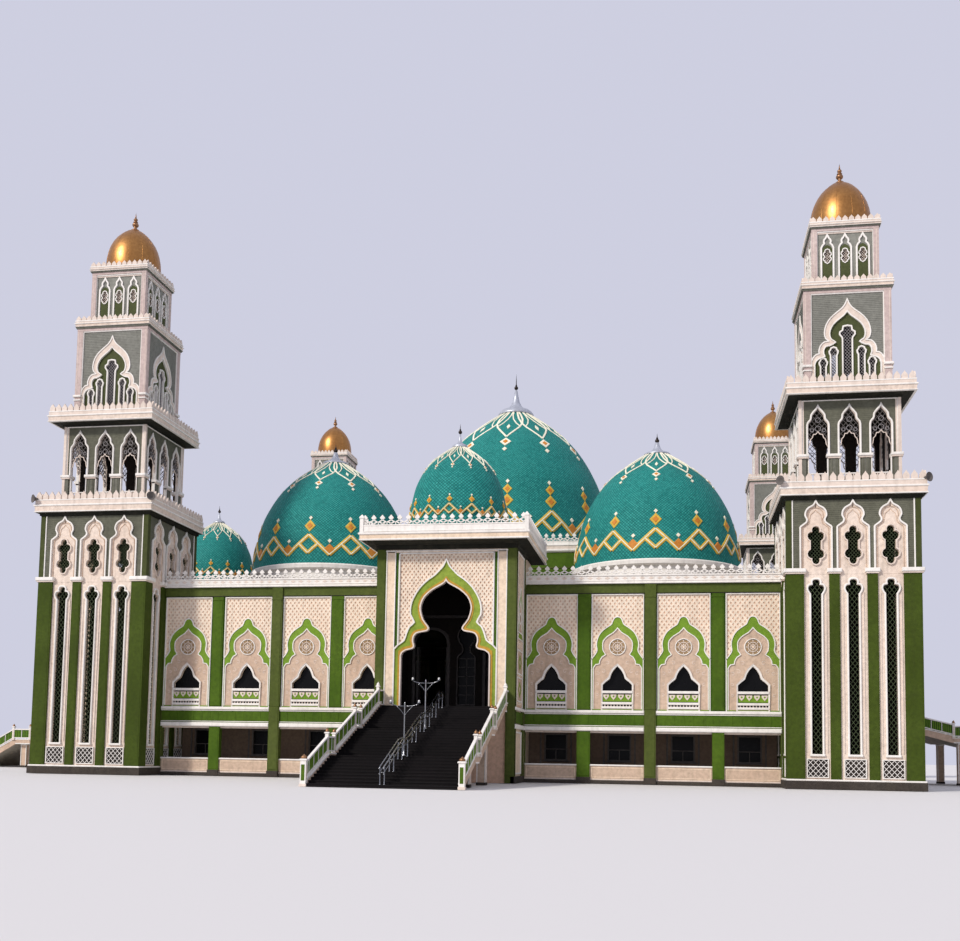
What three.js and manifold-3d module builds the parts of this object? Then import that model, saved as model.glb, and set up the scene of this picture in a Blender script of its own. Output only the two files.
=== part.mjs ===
// Mosque building with four square minarets, five tiled domes, three raised porches and their
// stairs. The real building is about 95 m wide over its side stairs; this is a 1:10 scale model.
// Lengths below are real metres, in the building's own frame: origin on the ground at the middle
// of the square hall, +X to the right of the entrance front, -Y towards the front, +Z up.
// U turns them into model millimetres.
import * as THREE from 'three';
import { mergeVertices } from 'three/addons/utils/BufferGeometryUtils.js';
import Module from 'manifold-3d';

const wasm = await Module();
wasm.setup();

const U = 100; // model millimetres per real metre (1:10)
const G = 0.0035; // gap between touching pieces, 0.35 mm in the model

// hall
const HALL = 26.05; // outer face of the wall pilasters, from the middle
const PANEL = 25.85; // outer face of the wall panels
const INNER = 25.55; // inner face of the outer walls
const BAYEND = 21.1; // where the hall walls meet the minarets
const SETBACK = 22.4; // outer face of the ground-storey walls behind the veranda
const Z_SLAB = 0.35; // ground-storey floor
const Z_DADO = 1.25; // low wall between the veranda columns
const Z_BEAM = 3.42; // underside of the veranda beam
const Z_FLOOR = 4.74; // main floor
const Z_FLOOR_LOW = 4.34; // its underside
const Z_WALLTOP = 12.95; // top of the hall walls
const Z_ROOF = 13.25; // roof deck
const Z_PARAPET = 14.3; // roof parapet tips

// porches
const PORCH_HALF = 4.54; // half width
const PORCH_OUT = 30.46; // face of the porch, from the middle
const PORCH_IN = 22.5; // back wall of the porch hall
const PORCH_T = 0.35; // wall thickness
const Z_PCORN = 15.05; // underside of the porch cornice
const Z_PROOF = 15.69; // porch roof
const Z_PTIP = 16.75; // porch parapet tips
const SIDE_SHIFT = -4.3; // side porches stand one bay nearer the front

// minarets
const MIN_C = 25.1; // centre, from the middle, both ways
const MIN_T = 0.4; // wall thickness
const T1 = 4.0, C1 = 4.36, T2 = 3.1, C2 = 3.93, T3 = 2.69, C3 = 2.84, T4 = 2.09, C4 = 2.23;
const Z1 = 17.97, Z1T = 18.54, Z1P = 19.45;
const Z2 = 24.5, Z2T = 24.99, Z2P = 25.8;
const Z3 = 31.71, Z3T = 32.01, Z3P = 32.55;
const Z4 = 36.05, Z4T = 36.24, Z4P = 36.8;
const GOLD_R = 1.9, Z_GOLD = 39.97, Z_TIP = 41.15;

// domes
const DOME_C = 13.0, DOME_R = 6.3, Z_DOME = 16.0, Z_DOME_TOP = 25.4, Z_DOME_TIP = 27.0;
const MAIN_R = 8.7, Z_MAIN = 19.6, Z_MAIN_TOP = 33.2, Z_MAIN_TIP = 36.8;
const RAISED = 9.6, Z_RAISED = 18.95, Z_RAISED_TIP = 19.85;
const PDOME_R = 3.27, PDOME_Y = 26.6, Z_PDOME = 16.4, Z_PDOME_TOP = 22.5, Z_PDOME_TIP = 24.1;

// ---------------------------------------------------------------- solids
function solid(geometry) {
  let g = geometry.clone();
  g.deleteAttribute('normal');
  g.deleteAttribute('uv');
  g = mergeVertices(g, 1e-4);
  const m = new wasm.Manifold(new wasm.Mesh({
    numProp: 3,
    vertProperties: new Float32Array(g.attributes.position.array),
    triVerts: new Uint32Array(g.index.array),
  }));
  return m;
}

function geometryOf(man) {
  const m = man.getMesh();
  const g = new THREE.BufferGeometry();
  g.setAttribute('position', new THREE.BufferAttribute(new Float32Array(m.vertProperties), 3));
  g.setIndex(new THREE.BufferAttribute(new Uint32Array(m.triVerts), 1));
  g.computeVertexNormals();
  return g;
}

// box between two corners, real metres
function box(x0, x1, y0, y1, z0, z1) {
  const g = new THREE.BoxGeometry(Math.abs(x1 - x0) * U, Math.abs(y1 - y0) * U, Math.abs(z1 - z0) * U);
  g.translate((x0 + x1) / 2 * U, (y0 + y1) / 2 * U, (z0 + z1) / 2 * U);
  return solid(g);
}

function join(list) {
  return list.reduce((a, b) => a.add(b));
}

function cut(base, list) {
  return list.reduce((a, b) => a.subtract(b), base);
}

// outline in (across, up), swept along the depth axis from d0 to d1; side names the wall it is for
function prism(points, d0, d1) {
  const s = new THREE.Shape(points.map((p) => new THREE.Vector2(p[0] * U, p[1] * U)));
  const g = new THREE.ExtrudeGeometry(s, { depth: (d1 - d0) * U, bevelEnabled: false });
  // shape lies in x,y and runs along z: stand it up so that across = x, up = z, depth = y
  const m = new THREE.Matrix4().makeBasis(
    new THREE.Vector3(1, 0, 0), new THREE.Vector3(0, 0, 1), new THREE.Vector3(0, -1, 0));
  g.applyMatrix4(m);
  g.translate(0, d1 * U, 0);
  return solid(g);
}

// profile of (radius, height) from axis to axis
function lathe(profile, segments) {
  const pts = profile.map((p) => new THREE.Vector2(Math.max(p[0], 0) * U, p[1] * U));
  const g = new THREE.LatheGeometry(pts, segments);
  g.rotateX(Math.PI / 2);
  return solid(g);
}

function turned(man, quarter) {
  return man.rotate([0, 0, 90 * quarter]);
}

function moved(man, x, y, z = 0) {
  return man.translate([x * U, y * U, z * U]);
}

// ---------------------------------------------------------------- outlines
function mirrored(half) {
  const left = half.slice().reverse().filter((p) => p[0] > 1e-6).map((p) => [-p[0], p[1]]);
  return half.concat(left);
}

// the great keyhole arch of the porch
const PORTAL = mirrored([
  [2.85, Z_FLOOR], [2.85, 7.95], [2.55, 8.33], [2.05, 8.48], [2.12, 8.9], [1.95, 9.38], [1.2, 9.55],
  [1.12, 9.72], [1.5, 10.28], [1.66, 10.95], [1.55, 11.5], [1.15, 12.02], [0.45, 12.42], [0, 12.84],
]);

function archPoints(cx, half, z0, spring, apex) {
  const h = apex - spring;
  return [
    [cx + half, z0], [cx + half, spring], [cx + half * 0.62, spring + h * 0.55], [cx, apex],
    [cx - half * 0.62, spring + h * 0.55], [cx - half, spring], [cx - half, z0],
  ];
}

function pointed(cx, half, z0, spring, apex) {
  return [[cx + half, z0], [cx + half, spring], [cx, apex], [cx - half, spring], [cx - half, z0]];
}

// ---------------------------------------------------------------- parts
const root = new THREE.Group();

function put(name, man, colour, roughness = 0.8, metalness = 0) {
  const mesh = new THREE.Mesh(geometryOf(man), new THREE.MeshStandardMaterial({ color: colour, roughness, metalness }));
  mesh.name = name;
  root.add(mesh);
}

const OLIVE = 0x5b7233, CREAM = 0xe9dcc4, WHITE = 0xf1f0ea, TEAL = 0x127a68, GREY = 0x7f8f80;
const GOLD = 0xa87f32, GRANITE = 0x2a2629, STEEL = 0xb9bcbf, CONCRETE = 0xb8b4a8;

// sides: quarter turns that carry the front (-Y) wall to each side
const FRONT = 0, RIGHT = 1, BACK = 2, LEFT = 3;

// window centres and pilasters (centre, half width) along every side, measured on the front; the
// middle bays show only where there is no porch
const HALF_ARCHES = [2.12, 6.3, 10.65, 14.92, 19.32];
const HALF_PILASTERS = [[4.24, 0.38], [8.46, 0.43], [12.78, 0.37], [17.12, 0.375]];
const ARCHES = [...HALF_ARCHES.map((c) => -c), ...HALF_ARCHES];
const PILASTERS = [[0, 0.4], ...HALF_PILASTERS, ...HALF_PILASTERS.map(([c, h]) => [-c, h])];

// one stretch of outer wall on the front side, from x = a to b: veranda columns, low wall, beam,
// main-storey wall with an ogee window in each bay, and the pilasters that run up its face
function wallStretch(a, b) {
  const A = a + G, B = b - G;
  const centres = ARCHES.filter((c) => c - 1.2 > a && c + 1.2 < b);
  const list = [
    box(A, B, -HALL, -INNER, Z_BEAM, Z_FLOOR),
    box(A, B, -PANEL, -INNER, Z_FLOOR - 0.02, Z_WALLTOP),
    box(A, B, -HALL, -PANEL + 0.02, 12.45, Z_WALLTOP),
    box(A, B, -25.92, -25.72, 0, Z_DADO),
  ];
  const ends = [[a + 0.2, 0.2], [b - 0.2, 0.2]];
  for (const [c, h] of [...PILASTERS.filter(([c]) => c - 0.5 > a && c + 0.5 < b), ...ends]) {
    const x0 = Math.max(A, c - h), x1 = Math.min(B, c + h);
    list.push(box(x0, x1, -HALL, -INNER, 0, Z_BEAM + 0.01));
    list.push(box(x0, x1, -HALL, -PANEL + 0.02, Z_FLOOR - 0.02, 12.46));
  }
  const holes = centres.map((c) => prism(archPoints(c, 0.86, Z_FLOOR + 0.06, 6.3, 7.7), -27, -25));
  return cut(join(list), holes);
}

// set-back wall of the ground storey, one window in each bay
function setbackWall(n, skip) {
  const A = -BAYEND + G, B = BAYEND - G;
  let w = box(A, B, -SETBACK, -SETBACK + 0.25, Z_SLAB + G, Z_FLOOR_LOW - G);
  const holes = [];
  for (const c of n) holes.push(box(c - 0.75, c + 0.75, -23, -22, 1.5, 3.25));
  for (const c of skip) holes.push(box(c - 1.1, c + 1.1, -23, -22, Z_SLAB - 0.2, 3.25));
  return cut(w, holes);
}

// porch: four walls, its floor, the keyhole portal, and the back wall with two arched doorways and
// a keyhole window between them
function porchWalls() {
  const p = PORCH_HALF, t = PORCH_T;
  let w = box(-p, p, -PORCH_OUT, -PORCH_IN, 0, Z_PCORN);
  const upper = box(-p + t, p - t, -PORCH_OUT + t, -PORCH_IN - t, Z_FLOOR, Z_PCORN + 1);
  const lower = box(-p + t, p - t, -PORCH_OUT + t, -PORCH_IN - t, -1, Z_FLOOR_LOW);
  const portal = prism(PORTAL, -PORCH_OUT - 1, -PORCH_OUT + t + 0.2);
  const doorL = prism(archPoints(-2.62, 1.2, Z_FLOOR, 9.2, 10.4), -PORCH_IN - 1, -PORCH_IN + 1);
  const doorR = prism(archPoints(2.62, 1.2, Z_FLOOR, 9.2, 10.4), -PORCH_IN - 1, -PORCH_IN + 1);
  const niche = prism(archPoints(0, 0.5, Z_FLOOR + 0.5, 9.0, 10.2), -PORCH_IN - 1, -PORCH_IN + 1);
  w = cut(w, [upper, lower, portal, doorL, doorR, niche]);
  // under the floor the hall side is open between the side walls
  w = cut(w, [box(-p + t, p - t, -PORCH_IN - 1, -PORCH_IN + 1, -1, 3.4)]);
  return w;
}

function ringWall(x0, x1, y0, y1, z0, z1, t) {
  return box(x0, x1, y0, y1, z0, z1).subtract(box(x0 + t, x1 - t, y0 + t, y1 - t, z0 - 1, z1 + 1));
}

function porchRoof() {
  const x = 5.44, y0 = -31.75, y1 = -21.6;
  return join([
    box(-x, x, y0, y1, Z_PCORN + G, Z_PROOF),
    ringWall(-x + 0.08, x - 0.08, y0 + 0.08, y1 - 0.08, Z_PROOF - 0.05, Z_PTIP - 0.12, 0.15),
  ]);
}

// pointed dome shell with a ring at its foot and a ball finial on top, centred on the axis
const SHAPE = [[1, 0], [1, 0.08], [0.995, 0.131], [0.975, 0.204], [0.93, 0.341], [0.82, 0.533], [0.66, 0.698], [0.46, 0.826], [0.29, 0.909], [0.155, 0.968], [0.04, 1]];
const PSHAPE = [[1, 0], [1, 0.12], [0.995, 0.26], [0.975, 0.325], [0.93, 0.44], [0.82, 0.605], [0.66, 0.744], [0.46, 0.852], [0.29, 0.92], [0.155, 0.97], [0.04, 1]];
function dome(shape, R, z0, z1, zring, tip, ball, thick, segments, rows) {
  const H = z1 - z0;
  const step = shape.filter((_, i) => rows.includes(i));
  const outer = step.map(([r, h]) => [r * R, z0 + h * H]);
  const inner = [shape[7], shape[5], shape[2]].map(([r, h]) => [r * R - thick * 1.6, z0 + h * (H - thick)]);
  const last = outer[outer.length - 1];
  const profile = [
    [R * 1.045, zring], [R * 1.045, z0], ...outer,
    [last[0], z1 + (tip - z1) * 0.25], [ball, z1 + (tip - z1) * 0.45], [ball * 0.4, z1 + (tip - z1) * 0.65], [0, tip],
  ];
  const under = [[0, z1 - thick * 2.5], ...inner, [R * 0.93, zring]];
  // closed outline: up the outside to the axis, down the axis, and back along the inside
  const pts = [...profile, ...under, profile[0]];
  return lathe(pts, segments);
}

// minaret pieces, centred on the axis
function tower(sx, sy) {
  // sx, sy say which way the outer faces look
  const t = MIN_T;
  let w = join([
    box(-T1, T1, -T1, T1, 0, Z1 + 0.01),
    box(-C1, C1, -C1, C1, Z1, Z1T),
    ringWall(-C1 + 0.06, C1 - 0.06, -C1 + 0.06, C1 - 0.06, Z1T - 0.05, Z1P - 0.15, 0.14),
  ]);
  const holes = [box(-T1 + t, T1 - t, -T1 + t, T1 - t, -1, Z1 - 0.1)];
  for (let q = 0; q < 4; q++) {
    // faces: 0 looks to -Y, 1 to +X, 2 to +Y, 3 to -X
    const outer = (q === 0 && sy < 0) || (q === 2 && sy > 0) || (q === 1 && sx > 0) || (q === 3 && sx < 0);
    // on the two faces that meet the hall only the window beyond the hall wall is open; its place
    // along the face depends on which way the face looks
    let cs = [-2.18, 0, 2.18];
    if (!outer) {
      const beyond = { 0: sx > 0 ? 2.18 : -2.18, 1: sy > 0 ? 2.18 : -2.18, 2: sx > 0 ? -2.18 : 2.18, 3: sy > 0 ? -2.18 : 2.18 };
      cs = [beyond[q]];
    }
    for (const c of cs) holes.push(turned(prism(pointed(c, 0.36, 2.3, 12.2, 12.75), -T1 - 0.5, -T1 + t + 0.1), q));
    // of the upper row the middle one is open here; the finer grilles beside it are surface work
    holes.push(turned(box(-0.3, 0.3, -T1 - 0.5, -T1 + t + 0.1, 14.0, 15.8), q));
  }
  return cut(w, holes);
}

function belfry() {
  const t = 0.35;
  const w = join([
    box(-T2, T2, -T2, T2, Z1T + G, Z2 + 0.01),
    box(-C2, C2, -C2, C2, Z2, Z2T),
    ringWall(-C2 + 0.06, C2 - 0.06, -C2 + 0.06, C2 - 0.06, Z2T - 0.05, Z2P - 0.15, 0.14),
  ]);
  const holes = [box(-T2 + t, T2 - t, -T2 + t, T2 - t, Z1T - 1, Z2 - 0.15)];
  for (let q = 0; q < 4; q++) {
    for (const c of [-1.9, 0, 1.9]) {
      holes.push(turned(prism(pointed(c, 0.56, Z1T + 0.35, 22.4, 23.3), -T2 - 0.5, -T2 + t + 0.1), q));
    }
  }
  return cut(w, holes);
}

function upperStage() {
  const t = 0.3;
  const w = join([
    box(-T3, T3, -T3, T3, Z2T + G, Z3 + 0.01),
    box(-C3, C3, -C3, C3, Z3, Z3T),
    ringWall(-C3 + 0.04, C3 - 0.04, -C3 + 0.04, C3 - 0.04, Z3T - 0.05, Z3P - 0.1, 0.12),
    box(-T4, T4, -T4, T4, Z3T - 0.01, Z4 + 0.01),
    box(-C4, C4, -C4, C4, Z4, Z4T),
    ringWall(-C4 + 0.04, C4 - 0.04, -C4 + 0.04, C4 - 0.04, Z4T - 0.05, Z4P - 0.1, 0.1),
  ]);
  const holes = [
    box(-T3 + t, T3 - t, -T3 + t, T3 - t, Z2T - 1, Z3 - 0.1),
    box(-T4 + t, T4 - t, -T4 + t, T4 - t, Z3 - 0.2, Z4 - 0.1),
  ];
  for (let q = 0; q < 4; q++) {
    holes.push(turned(prism(pointed(0, 0.32, 25.5, 28.2, 28.6), -T3 - 0.5, -T3 + t + 0.1), q));
    holes.push(turned(prism(pointed(0, 0.3, 32.9, 34.9, 35.3), -T4 - 0.5, -T4 + t + 0.1), q));
  }
  return cut(w, holes);
}

function goldDome() {
  const H = Z_GOLD - Z4T;
  const S = [[0.96, 0], [1, 0.2], [0.93, 0.45], [0.66, 0.76], [0.08, 1]];
  const outer = S.map(([r, h]) => [r * GOLD_R, Z4T + G + h * H]);
  const inner = [[0.62, 0.7], [0.9, 0]].map(([r, h]) => [r * GOLD_R - 0.12, Z4T + G + h * (H - 0.15)]);
  const pts = [...outer, [0.24, Z_GOLD + 0.5], [0, Z_TIP], [0, Z_GOLD - 0.6], ...inner, outer[0]];
  return lathe(pts, 10);
}

// ---------------------------------------------------------------- stairs
// each flight: outer edge u1 (far from the porch) and inner edge u0, levels z0 (low) to z1 (high),
// number of risers, then the landing at its top from u0 back to l0
const FRONT_FLIGHTS = [
  { u1: 15.0, u0: 11.15, z0: 0, z1: 1.58, n: 10, l0: 9.9 },
  { u1: 9.9, u0: 5.95, z0: 1.58, z1: 3.16, n: 10, l0: 4.7 },
  { u1: 4.7, u0: 0.85, z0: 3.16, z1: 4.74, n: 10, l0: 0 },
];
const SIDE_FLIGHTS = [
  { u1: 16.95, u0: 13.0, z0: 0, z1: 2.37, n: 14, l0: 11.4 },
  { u1: 11.4, u0: 6.4, z0: 2.37, z1: 3.555, n: 8, l0: 5.1 },
  { u1: 5.1, u0: 0.85, z0: 3.555, z1: 4.74, n: 8, l0: 0 },
];
const STAIR_HALF = 3.93;
const SLAB = 0.3;

// profile in (outward distance, up) of one flight with its landing
function flightProfile(f) {
  const rise = (f.z1 - f.z0) / f.n;
  const run = (f.u1 - f.u0) / (f.n - 1);
  const pts = [];
  let u = f.u1 - G, z = f.z0;
  pts.push([u, Math.max(z - (f.z0 > 0 ? SLAB : 0), 0)]);
  for (let i = 0; i < f.n; i++) {
    z = f.z0 + rise * (i + 1);
    pts.push([u, z]);
    if (i < f.n - 1) { u = f.u1 - run * (i + 1); pts.push([u, z]); }
  }
  pts.push([f.l0 + G, f.z1]);
  pts.push([f.l0 + G, f.z1 - SLAB]);
  pts.push([f.u0 - 0.25, f.z1 - SLAB]);
  if (f.z0 === 0) pts.push([f.u1 - run * 1.6, 0]);
  return pts;
}

function flight(f, posts) {
  // extruded across the stair; the outline's first axis points outward
  const s = new THREE.Shape(flightProfile(f).map((p) => new THREE.Vector2(p[0] * U, p[1] * U)));
  const g = new THREE.ExtrudeGeometry(s, { depth: 2 * STAIR_HALF * U, bevelEnabled: false });
  const m = new THREE.Matrix4().makeBasis(
    new THREE.Vector3(0, -1, 0), new THREE.Vector3(0, 0, 1), new THREE.Vector3(-1, 0, 0));
  g.applyMatrix4(m);
  g.translate(STAIR_HALF * U, -PORCH_OUT * U, 0);
  const list = [solid(g)];
  if (posts) {
    const mid = (f.u0 + f.l0) / 2;
    for (const c of [-3.4, 3.4]) {
      list.push(box(c - 0.2, c + 0.2, -PORCH_OUT - mid - 0.2, -PORCH_OUT - mid + 0.2, 0, f.z1 - SLAB + 0.02));
    }
  }
  return join(list);
}

// parapet rail that follows the flights, a slab with posts; c is its place across the stair
function rail(flights, c, t, low, high, postH, postT) {
  const top = [], bottom = [];
  for (const f of flights) {
    top.push([f.u1 - 0.1, f.z0 + high + 0.1], [f.u0, f.z1 + high]);
    bottom.push([f.u1 - 0.1, Math.max(f.z0 + low, 0.12)], [f.u0, f.z1 + low]);
  }
  const end = [0.02, flights[2].z1];
  const outline = [...top, [end[0], end[1] + high], [end[0], end[1] + low], ...bottom.reverse()];
  const s = new THREE.Shape(outline.map((p) => new THREE.Vector2(p[0] * U, p[1] * U)));
  const g = new THREE.ExtrudeGeometry(s, { depth: t * U, bevelEnabled: false });
  const m = new THREE.Matrix4().makeBasis(
    new THREE.Vector3(0, -1, 0), new THREE.Vector3(0, 0, 1), new THREE.Vector3(-1, 0, 0));
  g.applyMatrix4(m);
  g.translate((c + t / 2) * U, -PORCH_OUT * U, 0);
  const list = [solid(g)];
  const marks = [];
  for (const f of flights) marks.push([f.u1 - (f.z0 === 0 ? 0.1 : 0), f.z0], [f.u0, f.z1]);
  for (const [u, z] of marks) {
    list.push(box(c - postT / 2, c + postT / 2, -PORCH_OUT - u - postT / 2, -PORCH_OUT - u + postT / 2, z === 0 ? 0 : z + low - 0.05, z + postH));
  }
  return join(list);
}

function side(man, which) {
  if (which === FRONT) return man;
  // the right side is the front turned a quarter; the left is its mirror image
  const r = turned(man, 1).translate([0, SIDE_SHIFT * U, 0]);
  return which === RIGHT ? r : r.mirror([1, 0, 0]);
}

// raised middle roof under the great dome: a square with its corners cut back beside the four domes
function octagon(r, z0, z1) {
  const c = r - 2.5;
  const s = new THREE.Shape([[r, -c], [r, c], [c, r], [-c, r], [-r, c], [-r, -c], [-c, -r], [c, -r]]
    .map((p) => new THREE.Vector2(p[0] * U, p[1] * U)));
  const g = new THREE.ExtrudeGeometry(s, { depth: (z1 - z0) * U, bevelEnabled: false });
  g.translate(0, 0, z0 * U);
  return solid(g);
}

// ---------------------------------------------------------------- build
// ground storey floor: a cross between the minarets, cut back where the porches run in
{
  const e = INNER - G, b = BAYEND - G;
  const cross = () => box(-e, e, -b, b, 0, Z_SLAB).add(box(-b, b, -e, e, 0, Z_SLAB));
  const notch = box(-PORCH_HALF - G, PORCH_HALF + G, -30, -PORCH_IN + G, -1, 20);
  let s = cross();
  for (const w of [FRONT, RIGHT, LEFT]) s = s.subtract(side(notch, w));
  put('ground_floor_slab', s, CONCRETE, 0.9);
  const dz = Z_FLOOR_LOW;
  let f = box(-e, e, -b, b, dz, Z_FLOOR).add(box(-b, b, -e, e, dz, Z_FLOOR));
  for (const w of [FRONT, RIGHT, LEFT]) f = f.subtract(side(notch, w));
  put('main_floor', f, CONCRETE, 0.8);
}

// roof deck with the plain core of its parapet
{
  const e = 26.15, b = BAYEND - G;
  const z0 = Z_WALLTOP + G;
  let r = join([box(-e, e, -b, b, z0, Z_ROOF), box(-b, b, -e, e, z0, Z_ROOF)]);
  const runs = [
    box(-b, b, -e + 0.05, -e + 0.2, Z_ROOF - 0.05, Z_PARAPET - 0.15),
    box(-b, b, e - 0.2, e - 0.05, Z_ROOF - 0.05, Z_PARAPET - 0.15),
    box(-e + 0.05, -e + 0.2, -b, b, Z_ROOF - 0.05, Z_PARAPET - 0.15),
    box(e - 0.2, e - 0.05, -b, b, Z_ROOF - 0.05, Z_PARAPET - 0.15),
  ];
  r = join([r, ...runs]);
  const notch = box(-PORCH_HALF - G, PORCH_HALF + G, -30, -PORCH_IN + G, -1, 30);
  for (const w of [FRONT, RIGHT, LEFT]) r = r.subtract(side(notch, w));
  const holes = [octagon(RAISED - 0.7, 10, 15)];
  for (const sx of [-1, 1]) for (const sy of [-1, 1]) {
    const g = new THREE.CylinderGeometry(5.2 * U, 5.2 * U, 4 * U, 12);
    g.rotateX(Math.PI / 2);
    holes.push(moved(solid(g), sx * DOME_C, sy * DOME_C, 13));
  }
  put('roof_deck', cut(r, holes), WHITE);
}

// raised middle roof under the great dome
{
  const r = RAISED;
  let w = join([
    octagon(r, Z_ROOF + G, Z_RAISED),
    octagon(r - 0.05, Z_RAISED - 0.05, Z_RAISED_TIP - 0.15).subtract(octagon(r - 0.2, Z_RAISED - 1, Z_RAISED_TIP + 1)),
  ]);
  const g = new THREE.CylinderGeometry(7.6 * U, 7.6 * U, 14 * U, 16);
  g.rotateX(Math.PI / 2);
  w = cut(w, [octagon(r - 0.35, 10, Z_RAISED - 0.3), moved(solid(g), 0, 0, 20)]);
  put('raised_middle_roof', w, CREAM);
}

put('main_dome', dome(SHAPE, MAIN_R, Z_MAIN, Z_MAIN_TOP, Z_RAISED + G, Z_MAIN_TIP, 0.3, 0.3, 18, [0, 2, 4, 5, 6, 7, 8, 9, 10]), TEAL, 0.5);
for (const [name, sx, sy] of [['front_left', -1, -1], ['front_right', 1, -1], ['back_left', -1, 1], ['back_right', 1, 1]]) {
  put(`${name}_dome`, moved(dome(SHAPE, DOME_R, Z_DOME, Z_DOME_TOP, Z_ROOF + G, Z_DOME_TIP, 0.2, 0.25, 14, [0, 2, 4, 5, 6, 7, 8, 9, 10]), sx * DOME_C, sy * DOME_C), TEAL, 0.5);
}

// outer walls
put('front_wall_left', wallStretch(-BAYEND, -PORCH_HALF), CREAM);
put('front_wall_right', wallStretch(PORCH_HALF, BAYEND), CREAM);
put('back_wall', turned(wallStretch(-BAYEND, BAYEND), 2), CREAM);
{
  // right side: turning the front a quarter carries x to y, so the stretch runs front to back
  const front = () => turned(wallStretch(-BAYEND, SIDE_SHIFT - PORCH_HALF), 1);
  const back = () => turned(wallStretch(SIDE_SHIFT + PORCH_HALF, BAYEND), 1);
  put('right_wall_front', front(), CREAM);
  put('right_wall_back', back(), CREAM);
  put('left_wall_front', front().mirror([1, 0, 0]), CREAM);
  put('left_wall_back', back().mirror([1, 0, 0]), CREAM);
}

// ground-storey walls behind the veranda
{
  const fr = [-19.32, -14.92, -10.65, -6.3, 6.3, 10.65, 14.92, 19.32];
  put('front_ground_wall', setbackWall(fr, []), CREAM);
  put('back_ground_wall', turned(setbackWall(fr, []), 2), CREAM);
  const sd = [-19.32, -14.92, -10.65, 2.12, 6.3, 10.65, 14.92, 19.32];
  const r = () => turned(setbackWall(sd, []), 1);
  put('right_ground_wall', r(), CREAM);
  put('left_ground_wall', r().mirror([1, 0, 0]), CREAM);
}

// porches
for (const [name, w] of [['front', FRONT], ['right', RIGHT], ['left', LEFT]]) {
  put(`${name}_porch_walls`, side(porchWalls(), w), OLIVE);
  put(`${name}_porch_roof`, side(porchRoof(), w), WHITE);
  put(`${name}_porch_dome`, side(moved(dome(PSHAPE, PDOME_R, Z_PDOME, Z_PDOME_TOP, Z_PROOF + G, Z_PDOME_TIP, 0.16, 0.2, 12, [0, 2, 4, 5, 6, 8, 10]), 0, -PDOME_Y), w), TEAL, 0.5);
}

// minarets
for (const [name, sx, sy] of [['front_left', -1, -1], ['front_right', 1, -1], ['back_left', -1, 1], ['back_right', 1, 1]]) {
  const x = sx * MIN_C, y = sy * MIN_C;
  put(`${name}_minaret_tower`, moved(tower(sx, sy), x, y), OLIVE);
  put(`${name}_minaret_belfry`, moved(belfry(), x, y), WHITE);
  put(`${name}_minaret_upper_stage`, moved(upperStage(), x, y), GREY);
  put(`${name}_minaret_dome`, moved(goldDome(), x, y), GOLD, 0.35, 0.8);
}

// front stair: three flights, side rails and the handrail up the middle
['lower', 'middle', 'upper'].forEach((n, i) => {
  put(`front_stair_${n}_flight`, flight(FRONT_FLIGHTS[i], i < 2), GRANITE, 0.5);
});
put('front_stair_rail_left', rail(FRONT_FLIGHTS, -4.05, 0.16, 0.05, 1.05, 1.35, 0.22), WHITE);
put('front_stair_rail_right', rail(FRONT_FLIGHTS, 4.05, 0.16, 0.05, 1.05, 1.35, 0.22), WHITE);
{
  // handrail: slim posts on the steps and landings, a rail along their heads and one at mid height
  const list = [];
  const path = [];
  for (const f of FRONT_FLIGHTS) path.push([f.u1 - 0.05, f.z0 + (f.z0 === 0 ? 0.16 : 0)], [f.u0, f.z1]);
  path.push([0.6, 4.74]);
  for (const off of [0.85]) {
    for (let i = 0; i + 1 < path.length; i++) {
      const [ua, za] = path[i], [ub, zb] = path[i + 1];
      if (Math.abs(ua - ub) < 0.1) continue;
      const s = new THREE.Shape([[ua + 0.02, za + off], [ub - 0.02, zb + off], [ub - 0.02, zb + off + 0.07], [ua + 0.02, za + off + 0.07]].map((p) => new THREE.Vector2(p[0] * U, p[1] * U)));
      const g = new THREE.ExtrudeGeometry(s, { depth: 0.07 * U, bevelEnabled: false });
      const m = new THREE.Matrix4().makeBasis(
        new THREE.Vector3(0, -1, 0), new THREE.Vector3(0, 0, 1), new THREE.Vector3(-1, 0, 0));
      g.applyMatrix4(m);
      g.translate(0.035 * U, -PORCH_OUT * U, 0);
      list.push(solid(g));
    }
  }
  for (const f of FRONT_FLIGHTS) {
    // posts stand 0.35 mm clear of the treads: on the landing edges and half way up each flight
    list.push(box(-0.04, 0.04, -PORCH_OUT - f.u0 + 0.1, -PORCH_OUT - f.u0 + 0.18, f.z1 + G, f.z1 + 0.92));
    const rise = (f.z1 - f.z0) / f.n, run = (f.u1 - f.u0) / (f.n - 1);
    for (const k of [1]) {
      const u = f.u1 - run * (k - 0.5), z = f.z0 + rise * k;
      list.push(box(-0.04, 0.04, -PORCH_OUT - u - 0.04, -PORCH_OUT - u + 0.04, z + G, z + (f.z0 === 0 ? 0.95 : 0.8)));
    }
  }
  put('front_stair_handrail', join(list), STEEL, 0.35, 0.8);
}

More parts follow.
